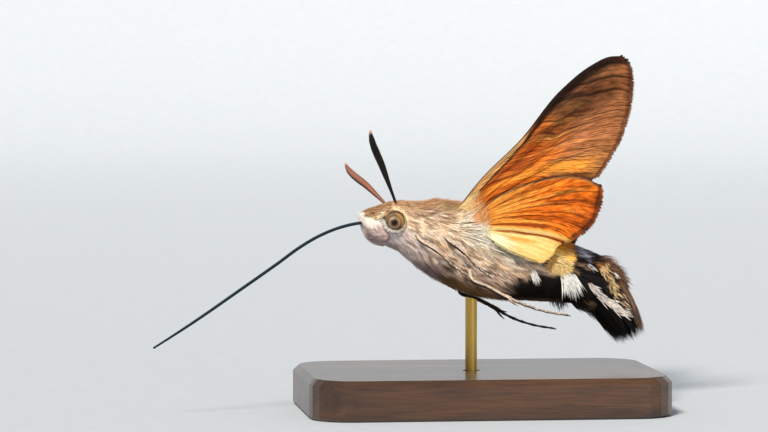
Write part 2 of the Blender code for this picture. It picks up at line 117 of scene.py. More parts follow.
key = bpy.data.lights.new("key", "SUN")
key.energy = 3.9
key.angle = math.radians(14.0)
key.color = (1.0, 0.945, 0.86)
aim(bpy.data.objects.new("key", key), (-95.0, -170.0, 205.0))
fill = bpy.data.lights.new("fill", "AREA")
fill.size = 180.0 * MM
fill.energy = 0.10
fill.color = (0.90, 0.95, 1.0)
aim(bpy.data.objects.new("fill", fill), (130.0, -240.0, 60.0))
world = bpy.data.worlds.new("studio")
world.use_nodes = True
world.node_tree.nodes["Background"].inputs["Color"].default_value = (0.84, 0.90, 1.0, 1.0)
world.node_tree.nodes["Background"].inputs["Strength"].default_value = 0.34
bpy.context.scene.world = world
bpy.context.scene.view_settings.view_transform = "Standard"
print("camera", round(DISTANCE), "mm from the moth, lens", round(camera_data.lens, 1), "mm")

# %% [markdown]
# ## Small tools
#
# Colours are picked as sRGB hex codes and turned linear by one function. Meshes are made from arrays of
# points in the moth's millimetres. Named attributes ride on them: the materials read `tint`, and the coat
# reads how its hair lies and how long it is.

# %% Colour and noise


def tone(code):
    """An sRGB hex code as linear red, green and blue."""
    srgb = np.array([int(code[i : i + 2], 16) for i in (0, 2, 4)]) / 255
    return np.where(srgb <= 0.04045, srgb / 12.92, ((srgb + 0.055) / 1.055) ** 2.4)


def ease(value, low, high):
    """0 below low, 1 above high, smooth between. low may be the larger."""
    t = np.clip((np.asarray(value, float) - low) / (high - low), 0, 1)
    return t * t * (3 - 2 * t)


def inside(value, low, high, soft):
    """1 between low and high, fading over soft at both ends."""
    return ease(value, low - soft / 2, low + soft / 2) * ease(value, high + soft / 2, high - soft / 2)


def wash(colours, code, mask):
    """Lays one colour over an array of them, as strongly as mask says."""
    mask = np.asarray(mask)[..., None]
    return colours * (1 - mask) + tone(code) * mask


def layered(colours, *layers):
    """Washes laid one over another, the first at the bottom. Each is a colour code and its mask."""
    for code, mask in layers:
        colours = wash(colours, code, mask)
    return colours


def speckle(points, size, seed):
    """A smooth random field from 0 to 1 over points in mm. size is its grain, one number or one an axis."""
    places = np.asarray(points, float) / np.asarray(size, float) + 512.0
    cell = np.floor(places).astype(np.int64)
    part = places - cell
    part = part * part * (3 - 2 * part)
    total = np.zeros(places.shape[:-1])
    for corner in np.ndindex(2, 2, 2):
        key = cell + corner
        mixed = key[..., 0] * 73856093 ^ key[..., 1] * 19349663 ^ key[..., 2] * 83492791 ^ seed * 40503
        mixed = ((mixed ^ (mixed >> 13)) * 1274126177) & 0xFFFFFFFF
        chance = ((mixed ^ (mixed >> 16)) & 0xFFFF) / 65535.0
        total += chance * np.prod(np.where(corner, part, 1 - part), axis=-1)
    return total

# %% Curves and grids


def unit(vectors):
    return vectors / np.maximum(np.linalg.norm(vectors, axis=-1, keepdims=True), 1e-9)


def along_many(values, shares):
    """Evenly spaced values, read at shares from 0 to 1 of the way along."""
    return np.interp(shares, np.linspace(0, 1, len(values)), values)


def along(values, count):
    """Evenly spaced values, read at count even steps."""
    return along_many(values, np.linspace(0, 1, count))


def along_table(value, rows):
    """The second column of a table, read at places of its first."""
    rows = np.asarray(rows, float)
    return np.interp(value, rows[:, 0], rows[:, 1])


def hermite_table(rows, places):
    """Rows of a table at the given places of its first column, smoothly between them."""
    rows = np.asarray(rows, float)
    knots = rows[:, 0]
    slopes = np.gradient(rows, knots, axis=0)
    places = np.clip(places, knots[0], knots[-1])
    i = np.clip(np.searchsorted(knots, places, side="right") - 1, 0, len(rows) - 2)
    span = (knots[i + 1] - knots[i])[..., None]
    t = (places - knots[i])[..., None] / span
    return (
        (2 * t**3 - 3 * t**2 + 1) * rows[i]
        + (t**3 - 2 * t**2 + t) * span * slopes[i]
        + (3 * t**2 - 2 * t**3) * rows[i + 1]
        + (t**3 - t**2) * span * slopes[i + 1]
    )


def smooth_path(points, count):
    """count points spaced evenly by length on one smooth curve through the given points."""
    points = np.asarray(points, float)
    steps = np.concatenate([[0.0], np.cumsum(np.linalg.norm(np.diff(points, axis=0), axis=1))])
    fine = hermite_table(
        np.column_stack([steps, points]), np.linspace(0, steps[-1], 30 * len(points))
    )[:, 1:]
    run = np.concatenate([[0.0], np.cumsum(np.linalg.norm(np.diff(fine, axis=0), axis=1))])
    even = np.linspace(0, run[-1], count)
    return np.column_stack([np.interp(even, run, fine[:, k]) for k in range(points.shape[1])])


def grid_faces(rows, columns, wrap=False):
    """Quads of a grid stored row by row. wrap joins the last column to the first."""
    r, c = np.meshgrid(np.arange(rows - 1), np.arange(columns if wrap else columns - 1), indexing="ij")
    after = (c + 1) % columns
    return np.stack(
        [r * columns + c, r * columns + after, (r + 1) * columns + after, (r + 1) * columns + c], -1
    ).reshape(-1, 4)

# %% Meshes


def soften(mesh, ways, share):
    """Lets hair take the light as the coat under it does: its normals lean to the given directions."""
    own = np.empty(3 * len(mesh.vertices))
    mesh.vertices.foreach_get("normal", own)
    mesh.normals_split_custom_set_from_vertices(
        unit(share * unit(ways) + (1 - share) * own.reshape(-1, 3))
    )


def piece(name, points, faces, finish, slot, attributes=None, maps=None):
    """A mesh object that rides on the root body. attributes are per point, maps per face corner."""
    mesh = bpy.data.meshes.new(name)
    mesh.from_pydata(to_row(points).tolist(), [], [list(map(int, face)) for face in faces])
    kinds = {1: "FLOAT", 3: "FLOAT_VECTOR"}
    for key, values in (attributes or {}).items():
        values = np.asarray(values, float).reshape(len(mesh.vertices), -1)
        if key == "tint":
            layer = mesh.color_attributes.new(key, "FLOAT_COLOR", "POINT")
            values = np.column_stack([values, np.ones(len(values))])
            layer.data.foreach_set("color", values.ravel())
        else:
            layer = mesh.attributes.new(key, kinds[values.shape[1]], "POINT")
            layer.data.foreach_set("vector" if values.shape[1] == 3 else "value", values.ravel())
    for key, values in (maps or {}).items():
        mesh.uv_layers.new(name=key).data.foreach_set("uv", np.asarray(values, float).ravel())
    mesh.materials.append(finish)
    mesh.shade_smooth()
    made = bpy.data.objects.new(name, mesh)
    bpy.context.scene.collection.objects.link(made)
    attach(made, "root")
    return made


def tube(path, radii, sides, groove=None):
    """Points and faces of a closed tube along the path. groove maps a turn to a share of the radius."""
    path = np.asarray(path, float)
    ahead = unit(np.gradient(path, axis=0))
    across = np.cross(ahead[0], (0.0, 0.0, 1.0))
    turns = np.linspace(0, 2 * math.pi, sides, endpoint=False)
    share = groove(turns) if groove else np.ones(sides)
    rings = []
    for here, forward, radius in zip(path, ahead, np.broadcast_to(radii, len(path))):
        across = unit(across - forward * (across @ forward))
        second = np.cross(forward, across)
        spoke = np.cos(turns)[:, None] * across + np.sin(turns)[:, None] * second
        rings.append(here + radius * share[:, None] * spoke)
    points = np.concatenate(rings + [path[:1], path[-1:]])
    faces = grid_faces(len(path), sides, wrap=True).tolist()
    last = (len(path) - 1) * sides
    for k in range(sides):
        after = (k + 1) % sides
        faces.append((len(points) - 2, after, k))
        faces.append((len(points) - 1, last + k, last + after))
    return points, faces

# %% Nodes and materials


def add(tree, kind, inputs=None, **settings):
    """Adds a node, sets its properties, and sets or links its inputs."""
    made = tree.nodes.new(kind)
    for key, value in settings.items():
        setattr(made, key, value)
    for key, value in (inputs or {}).items():
        if isinstance(value, bpy.types.NodeSocket):
            tree.links.new(value, made.inputs[key])
        else:
            made.inputs[key].default_value = value
    return made


def new_finish(name, **constants):
    """A material with one Principled shader. Returns it with its tree and the shader."""
    finish = bpy.data.materials.new(name)
    finish.use_nodes = True
    tree = finish.node_tree
    shader = tree.nodes["Principled BSDF"]
    for key, value in constants.items():
        shader.inputs[key.replace("_", " ")].default_value = value
    return finish, tree, shader


def attribute(tree, name):
    return add(tree, "ShaderNodeAttribute", attribute_name=name)


def times(tree, first, second, factor=1.0):
    """One colour multiplied by another."""
    return add(
        tree,
        "ShaderNodeMix",
        {0: factor, 6: first, 7: second},
        data_type="RGBA",
        blend_type="MULTIPLY",
    )


print("tools ready")

# %% [markdown]
# ## The body's form
#
# Every place on the body has a station `s` along the back and an angle round it, 0 on top and 180
# underneath. The table's columns are the station, the top, the bottom and the half width in mm. Up to
# station 14 it is the CAD's outline, coat included. Behind that it carries on into the tail, and the
# spine bends down.

# %% Stations of the body
COAT = np.array(
    (
        (-8.4, 0.85, -1.10, 0.70),
        (-7.8, 1.45, -1.80, 1.35),
        (-7.0, 2.10, -2.12, 1.80),
        (-6.0, 2.62, -2.32, 2.15),
        (-5.0, 2.86, -2.50, 2.30),
        (-4.0, 3.12, -2.92, 2.55),
        (-2.8, 3.62, -3.50, 3.05),
        (-1.0, 4.05, -4.22, 3.55),
        (1.0, 4.28, -4.65, 3.75),
        (3.5, 4.22, -4.98, 3.75),
        (6.0, 4.00, -4.75, 3.60),
        (9.0, 3.50, -4.10, 3.40),
        (12.0, 2.92, -3.45, 3.15),
        (14.0, 2.60, -3.05, 2.95),
        (15.8, 2.25, -2.70, 2.60),
        (17.2, 1.75, -2.10, 2.15),
        (18.4, 1.00, -1.20, 1.40),
        (19.0, 0.45, -0.60, 0.70),
    )
)
COAT_DEPTH = (
    (-9.0, 0.12), (-5.0, 0.22), (-2.0, 0.42), (5.0, 0.40), (9.0, 0.28), (15.0, 0.28), (19.0, 0.2)
)
TAIL_BEND = math.radians(42.0)
TAIL_BEND_BETWEEN = (14.6, 17.6)
EYE_AT = np.array([-6.35, 1.72, -0.15])

spine_s = np.linspace(-9.0, 20.0, 600)
spine_lean = TAIL_BEND * ease(spine_s, *TAIL_BEND_BETWEEN)
spine_step = np.diff(spine_s, prepend=spine_s[0])
spine_x = spine_s[0] + np.cumsum(spine_step * np.cos(spine_lean))
spine_z = -np.cumsum(spine_step * np.sin(spine_lean))


def on_body(s, angle, lift=0.0):
    """A point of the coat's surface, raised by lift. Angles past 180 are the right side."""
    s, angle, lift = np.broadcast_arrays(*(np.asarray(v, float) for v in (s, angle, lift)))
    top, bottom, half = np.moveaxis(hermite_table(COAT, s)[..., 1:], -1, 0)
    middle = bottom + 0.52 * (top - bottom)
    turn = np.radians(angle)
    reach = np.where(np.cos(turn) > 0, top - middle, middle - bottom)
    y = -(half + lift) * np.sin(turn)
    z = middle + (reach + lift) * np.cos(turn)
    lean = np.interp(s, spine_s, spine_lean)
    x = np.interp(s, spine_s, spine_x) + z * np.sin(lean)
    return np.stack([x, y, np.interp(s, spine_s, spine_z) + z * np.cos(lean)], -1)


def body_axes(s, angle):
    """Unit directions on the body at a place: backward, round it away from the top, and outward."""
    back = unit(on_body(s + 0.05, angle) - on_body(s - 0.05, angle))
    turn = unit(on_body(s, angle + 1.0) - on_body(s, angle - 1.0))
    outward = unit(np.cross(turn, back))
    outward = np.where(
        ((outward * (on_body(s, angle, 1.0) - on_body(s, angle))).sum(-1) < 0)[..., None], -outward,
        outward,
    )
    return back, np.where((np.asarray(angle) > 180)[..., None], -turn, turn), outward


print("body stations from", COAT[0, 0], "to", COAT[-1, 0])

# %% [markdown]
# ## The markings
#
# One function says the coat's colour at any place, and both the skin and the tufts ask it, so they always
# agree. The thorax runs from grey brown on the back to beige flanks and a mauve belly. Behind the wings
# come the amber patch, the black bands, and white and tan streaks down to the tail brush.

# %% The body's markings


def body_tint(s, angle):
    a = np.where(angle > 180, 360 - angle, angle)
    places = on_body(s, a)
    blotch = speckle(places, (1.3, 0.5, 0.5), 3)
    streak = speckle(places, (0.9, 0.15, 0.15), 5)
    edge = 0.7 * (speckle(places, 0.35, 7) - 0.5)
    colours = np.broadcast_to(tone("c4966f"), places.shape).copy()
    colours = layered(
        colours,
        ("d3ab88", ease(a, 40, 62)),
        ("f4cfaa", ease(a, 60, 88)),
        ("eac5a9", ease(a, 108, 130)),
        ("9f7f6a", ease(a, 140, 164)),
        ("9c8484", 0.9 * ease(a, 128, 150) * ease(s, 0.8, -1.2)),
        ("ecd8cf", 0.85 * ease(a, 96, 116) * ease(s, -1.6, -3.6)),
        ("8f6a3e", 0.85 * ease(a, 150, 164) * inside(s, 0.0, 5.0, 1.6)),
        ("94824e", 0.5 * inside(s, -2.0, 0.4, 1.2) * inside(a, 34, 60, 14)),
        ("ffe9c0", inside(s + 3 * edge, 0.2, 6.0, 2.4) * inside(a, 64, 97, 16)),
        ("fdf6ea", 0.7 * inside(s + 3 * edge, 5.0, 9.0, 1.6) * inside(a, 88, 106, 12)),
    )
    dark = ease(streak + 0.25 * blotch, 0.62, 0.80) * ease(a, 30, 70) * ease(s, -6.4, -3.6)
    colours = layered(
        colours,
        ("4a3222", 0.75 * dark),
        ("fff6e8", 0.6 * ease(streak, 0.42, 0.22) * inside(a, 60, 140, 20) * ease(s, -5.0, -3.0)),
        ("7d5a40", 0.5 * ease(blotch, 0.5, 0.8) * ease(a, 70, 30) * ease(s, -5.0, -3.5)),
    )
    sooty = ease(blotch + streak, 1.0, 1.3) * inside(s, -1.0, 5.6, 2.0) * inside(a, 120, 152, 16)
    colours = wash(colours, "24160f", 0.85 * sooty)

    dorsum = ease(s, 5.2, 7.0)
    colours = layered(
        colours,
        ("a98364", 0.8 * dorsum * ease(a, 88, 68)),
        ("d6b394", 0.7 * dorsum * inside(a, 98, 134, 12)),
        ("4a382e", 0.6 * dorsum * ease(streak, 0.50, 0.72) * inside(a, 92, 134, 12)),
    )
    lower = a + 8 * edge + 3.5 * (s - 7.7)
    colours = layered(
        colours,
        ("17100d", ease(lower, 119, 127) * ease(s, 5.6, 7.2) * ease(a, 186, 172)),
        ("4a3a2e", 0.85 * ease(a, 164, 174) * ease(s, 4.6, 7.4)),
        ("d9b48e", 0.55 * inside(s + edge, 9.2, 10.6, 0.8) * inside(a, 100, 118, 8)),
        ("1c130d", inside(s + 2 * edge, 8.7, 9.7, 0.4) * inside(a, 70, 104, 10)),
    )
    amber = inside(s + 1.2 * edge, 9.6, 11.95, 0.3) * inside(a + 8 * edge, 18, 108, 9)
    colours = layered(
        colours,
        ("d0842c", amber),
        ("f9b348", amber * ease(a, 52, 72)),
        ("ffdc90", 0.9 * amber * ease(streak, 0.45, 0.75) * ease(a, 50, 84)),
    )

    rear = ease(s + 0.5 * edge, 11.95, 12.15)
    colours = layered(
        colours,
        ("0a0706", rear),
        # painted sheen: streaky slate-grey highlights on top of the first black band
        (
            "b4b1c0",
            0.9 * rear * inside(s + edge, 12.3, 13.8, 0.5) * inside(a + 20 * edge, 22, 66, 12)
            * ease(streak, 0.26, 0.5),
        ),
        ("8a6a50", 0.7 * rear * inside(a, 84, 112, 12) * ease(streak, 0.62, 0.75) * ease(s, 14.6, 13.4)),
        (
            "b07a48",
            0.8 * ease(s + edge, 14.4, 15.0) * inside(a + 18 * edge, 62, 86, 12)
            * ease(streak, 0.35, 0.6),
        ),
        (
            "7a5138",
            0.85 * ease(s + edge, 14.6, 15.6) * ease(a + 20 * edge, 62, 44)
            * ease(streak + blotch, 0.7, 1.0),
        ),
    )
    return head_tint(colours, s, a, places, edge, streak)

# %% The face's markings


def over_face_line(places):
    """How far a place is above the dark line that runs from the snout to the eye, in mm."""
    return places[..., 2] - np.interp(places[..., 0], (-9.1, -7.98, -7.02), (-0.36, -0.27, 0.10))


def head_tint(colours, s, a, places, edge, streak):
    """The face: tan crown, a dark line from snout to eye, white cheeks, painted shade on the lower head, and
    a rim round each eye.
    """
    face = ease(s, -4.7, -5.5)
    crown = wash(np.broadcast_to(tone("dfb285"), colours.shape), "a87b55", ease(streak, 0.4, 0.75))
    over = over_face_line(places) + 0.3 * edge
    head = wash(crown, "f3dfbd", 0.8 * inside(over, 0.18, 0.50, 0.2) * ease(s, -6.6, -7.4))
    head = layered(
        head,
        ("fdf4ea", ease(over, 0.02, -0.12)),
        ("e8d6d0", 0.8 * ease(a + 14 * edge, 112, 136)),
        # painted shade: the lower head darkens to a dusky mauve
        ("a88d88", 0.7 * ease(a, 144, 168)),
        ("2a1d17", inside(over, -0.12, 0.12, 0.06) * ease(s, -6.7, -7.1)),
        ("c79c74", 0.8 * ease(s, -5.9, -5.4) * ease(a, 112, 92)),
    )
    off_eye = np.linalg.norm(places - EYE_AT * np.array([1, -1, 1]), axis=-1)
    head = layered(
        head,
        ("f2dcb4", 0.9 * ease(off_eye, 1.85, 1.5) * ease(a, 100, 84)),
        ("4a3826", 0.35 * ease(off_eye, 1.28, 1.20)),
    )
    return colours * (1 - face[..., None]) + head * face[..., None]


# %% [markdown]
# ## The skin
#
# The skin is one loft from the face to the root of the tail brush, as deep under the coat's surface as
# the coat is thick there, with the two palps of the snout in the same mesh. It carries what the fur
# needs: the way the hair lies, its length and width, how far it stands off, and a map whose place tells
# each tuft which colour is its own.

# %% Settings of the skin
LEG_STATIONS = {
    "foreleg": ((-3.3, 118.0), (-1.6, 122.0), (0.2, 131.0), (2.0, 137.0)),
    "midleg": ((-0.6, 106.0), (0.9, 112.0), (2.6, 122.0), (4.4, 130.0)),
    "hindleg": ((2.6, 139.0), (4.2, 142.0)),
}
RINGS = 190
AROUND = 112
MAP_FROM = -9.0
MAP_LENGTH = 30.0


def map_place(s, angle):
    """Where a station and an angle lie on the skin's unwrap. Tufts and locks take their patch of it."""
    s, angle = np.broadcast_arrays(s, angle)
    return np.stack([0.02 + 0.80 * (s - MAP_FROM) / MAP_LENGTH, 0.02 + 0.94 * angle / 360], -1)


def hair_style(s, a):
    """Hair length, width and stand for places on the body."""
    length = along_table(
        s,
        (
            (-9, 0.40), (-6.5, 0.52), (-5.0, 0.85), (-3.0, 1.20), (5.0, 1.35), (8.0, 0.95), (13, 0.9),
            (17, 1.4),
        ),
    )
    width = along_table(
        s, ((-9, 0.055), (-5.0, 0.062), (-2.0, 0.070), (5.0, 0.078), (8.0, 0.12), (13, 0.13), (17, 0.12))
    )
    stand = along_table(
        s, ((-9, 0.14), (-5, 0.15), (-2.0, 0.15), (5, 0.15), (9, 0.11), (13, 0.14), (18, 0.12))
    )
    root = inside(s, 0.5, 6.0, 3.0) * inside(a, 58, 98, 16)
    length = length * (1 + 0.45 * root)
    stand = stand + 0.12 * root
    return length, width, stand


def swirl(s, a):
    """How far the hair turns from straight back towards the belly, in radians."""
    flank = inside(a, 62, 150, 30) * inside(s, -5.0, 8.0, 3.0)
    rising = inside(s, -1.0, 4.5, 2.5) * inside(a, 46, 84, 18)
    return 0.34 * flank - 0.75 * rising

# %% The skin over the body


def body_skin():
    """The body's part of the skin as a dict of arrays."""
    s = np.concatenate([[-8.42], np.linspace(-8.38, COAT[-1, 0], RINGS - 1)])
    angle = np.linspace(0, 360, AROUND, endpoint=False) + 180.0 / AROUND
    s, angle = (grid.ravel() for grid in np.meshgrid(s, angle, indexing="ij"))
    a = np.where(angle > 180, 360 - angle, angle)
    depth = along_table(s, COAT_DEPTH)
    points = on_body(s, angle, -depth)
    back, turn, _ = body_axes(s, angle)
    bend = (swirl(s, a) + 0.75 * (speckle(points, 0.9, 9) - 0.5) * ease(s, -5.5, -3.5))[:, None]
    lie = back * np.cos(bend) + turn * np.sin(bend)
    length, width, stand = hair_style(s, a)
    to_eye = np.minimum(
        *(
            np.linalg.norm(on_body(s, angle) - EYE_AT * np.array([1, side, 1]), axis=-1)
            for side in (-1, 1)
        )
    )
    length = length * (1 - 0.45 * ease(to_eye, 2.1, 1.3))
    runs = [smooth_path(stations, 40) for stations in LEG_STATIONS.values()]
    to_leg = np.min(
        [np.linalg.norm(on_body(s, a) - on_body(*place), axis=-1) for place in np.concatenate(runs)],
        axis=0,
    )
    length = length * (1 - 0.60 * ease(to_leg, 0.85, 0.40))
    thick = ease(to_eye, 1.18, 1.24) * np.where(s < -8.3, 0.4, 1.0)
    faces = grid_faces(RINGS, AROUND, wrap=True)
    around = np.linspace(0, 1, AROUND, endpoint=False)
    column = faces % AROUND
    u = (s[faces] - MAP_FROM) / MAP_LENGTH
    v = around[column] + np.where((column == 0) & (column[:, :1] == AROUND - 1), 1.0, 0.0)
    maps = np.stack([0.02 + 0.80 * u, 0.02 + 0.94 * v], -1)
    ends = [list(range(AROUND))[::-1], list(range((RINGS - 1) * AROUND, RINGS * AROUND))]
    end_maps = [
        np.column_stack(
            [np.full(AROUND, 0.02 + 0.80 * (s[e[0]] - MAP_FROM) / MAP_LENGTH), 0.02 + 0.94 * around]
        )
        for e in ends
    ]
    return {
        "points": points,
        "faces": faces.tolist() + ends,
        "maps": np.concatenate([maps.reshape(-1, 2)] + end_maps),
        "tint": body_tint(s, angle),
        "coat": body_tint(s + 0.5 * length, angle),
        "lie": lie,
        "hair": length,
        "girth": width,
        "stand": stand,
        "thick": thick,
        "s": s,
    }

# %% The skin over a palp


def palp_skin(side, map_row):
    """One palp: a scaled lobe along the face that ends in the pointed snout."""
    route = ((-6.2, 1.0, -1.75), (-7.5, 0.92, -1.28), (-8.45, 0.68, -0.55), (-9.05, 0.42, 0.02))
    path = smooth_path(route, 40) * (1, side, 1)
    radii = along((0.40, 0.56, 0.60, 0.52, 0.42, 0.16), 40)
    sides = 28
    points, faces = tube(path, radii, sides)
    ahead = np.repeat(unit(np.gradient(path, axis=0)), sides, axis=0)
    ahead = np.concatenate([ahead, ahead[:1], ahead[-1:]])
    far = np.clip((points[:, 0] + 6.2) / -2.85, 0, 1)
    over = over_face_line(points) + 0.12 * (speckle(points, 0.2, 23) - 0.5)
    # painted shade: the palp's lower side is a darker mauve than its upper side
    tint = wash(np.broadcast_to(tone("cdb6b0"), points.shape), "e6d4cc", ease(over, -1.45, -1.05))
    tint = layered(
        tint,
        ("f4e9de", ease(over, -1.00, -0.55)),
        ("f0dcb4", inside(over, -0.40, -0.14, 0.10) * ease(far, 0.9, 0.7)),
        ("cf9f72", ease(over, 0.02, 0.12)),
        ("2c1d15", 0.95 * inside(over, -0.15, 0.10, 0.06) * ease(far, 0.98, 0.90)),
        ("f4e9de", ease(far, 0.88, 0.97) * ease(over, 0.50, 0.30)),
        ("86695a", 0.6 * ease(speckle(points, (0.35, 0.10, 0.10), 21), 0.54, 0.74)),
    )
    row = np.repeat(np.arange(len(path)), sides)
    row = np.concatenate([row, [0, len(path) - 1]]) / (len(path) - 1)
    column = np.concatenate([np.tile(np.arange(sides), len(path)), [0, 0]]) / sides
    flat = np.array([index for face in faces for index in face])
    maps = np.column_stack([0.86 + 0.11 * row[flat], map_row + 0.4 * column[flat]])
    return {
        "points": points,
        "faces": faces,
        "maps": maps,
        "tint": tint,
        "coat": tint,
        "lie": ahead,
        "hair": np.full(len(points), 0.54),
        "girth": np.full(len(points), 0.05),
        "stand": np.full(len(points), 0.34),
        "thick": np.ones(len(points)),
        "s": np.full(len(points), -8.0),
    }

# %% The skin's finish, and the whole skin


def joined(parts):
    """Several skins as one."""
    made = {key: np.concatenate([part[key] for part in parts]) for key in parts[0] if key != "faces"}
    start = 0
    made["faces"] = []
    for part in parts:
        made["faces"] += [[start + index for index in face] for face in part["faces"]]
        start += len(part["points"])
    return made


def skin_finish():
    """Insect skin under the coat: the same markings, darker, with a fine nap."""
    finish, tree, shader = new_finish("skin under the coat", Roughness=0.85)  # scaly chitin, no gloss
    place = add(tree, "ShaderNodeTexCoord").outputs["Object"]
    grain = add(tree, "ShaderNodeTexNoise", {"Vector": place, "Scale": 9000.0, "Detail": 3.0})
    shade = add(
        tree, "ShaderNodeMapRange", {"Value": grain.outputs["Fac"], "To Min": 0.35, "To Max": 0.85}
    )
    dark = times(tree, attribute(tree, "tint").outputs["Color"], shade.outputs["Result"])
    tree.links.new(dark.outputs[2], shader.inputs["Base Color"])
    bump = add(
        tree, "ShaderNodeBump", {"Height": grain.outputs["Fac"], "Strength": 0.5, "Distance": 0.00005}
    )
    tree.links.new(bump.outputs["Normal"], shader.inputs["Normal"])
    return finish


skin_data = joined([body_skin(), palp_skin(-1, 0.05), palp_skin(1, 0.55)])
skin = piece(
    "moth_skin",
    skin_data["points"],
    skin_data["faces"],
    skin_finish(),
    "coat",
    {
        "tint": skin_data["tint"],
        "coat": skin_data["coat"],
        "lie": skin_data["lie"] @ TURN.T,
        "hair": skin_data["hair"] * MM,
        "girth": skin_data["girth"] * MM,
        "stand": skin_data["stand"],
        "thick": skin_data["thick"],
    },
    {"root_map": skin_data["maps"]},
)
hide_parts("head", "palp_left", "palp_right", "thorax", "abdomen", "tail_fan")
print("skin of", len(skin.data.polygons), "faces")

# %% [markdown]
# ## One tuft
#
# A tuft stands for a few hair-like scales that cling together: a thin lock with three sides, widest about
# half way out, that bows back towards the body. It is one millimetre long and a little less wide here,
# and is scaled when it is planted.

# %% The tuft


def tuft_object():
    rings = ((-0.10, 0.34, 0.0), (0.48, 0.46, 0.05))
    corners = [math.radians(t) for t in (90, 210, 330)]
    points = []
    for z, half, bow in rings:
        points += [(half * math.cos(t), 0.34 * half * math.sin(t) + bow, z) for t in corners]
    points.append((0.0, -0.04, 1.0))
    faces = [(k, (k + 1) % 3, 3 + (k + 1) % 3, 3 + k) for k in range(3)]
    faces += [(3 + k, 3 + (k + 1) % 3, 6) for k in range(3)]
    faces.append((2, 1, 0))
    mesh = bpy.data.meshes.new("tuft")
    mesh.from_pydata([(x * MM, y * MM, z * MM) for x, y, z in points], [], faces)
    layer = mesh.uv_layers.new(name="tuft_map")
    for loop in mesh.loops:
        x, _, z = points[loop.vertex_index]
        layer.data[loop.index].uv = (0.5 + x, max(z, 0.0))
    mesh.shade_smooth()
    return bpy.data.objects.new("tuft", mesh)


# %% [markdown]
# ## The coat, planted by Geometry Nodes
#
# The tree scatters points over one zone of the skin, turns a tuft at each to lie the way the skin says,
# scales it to the hair's length and width, and makes real mesh of it. Each tuft's place on the `OFBake`
# map is a small patch at its root's place on the skin's own unwrap.

# %% The coat's tree
PATCH = 0.003


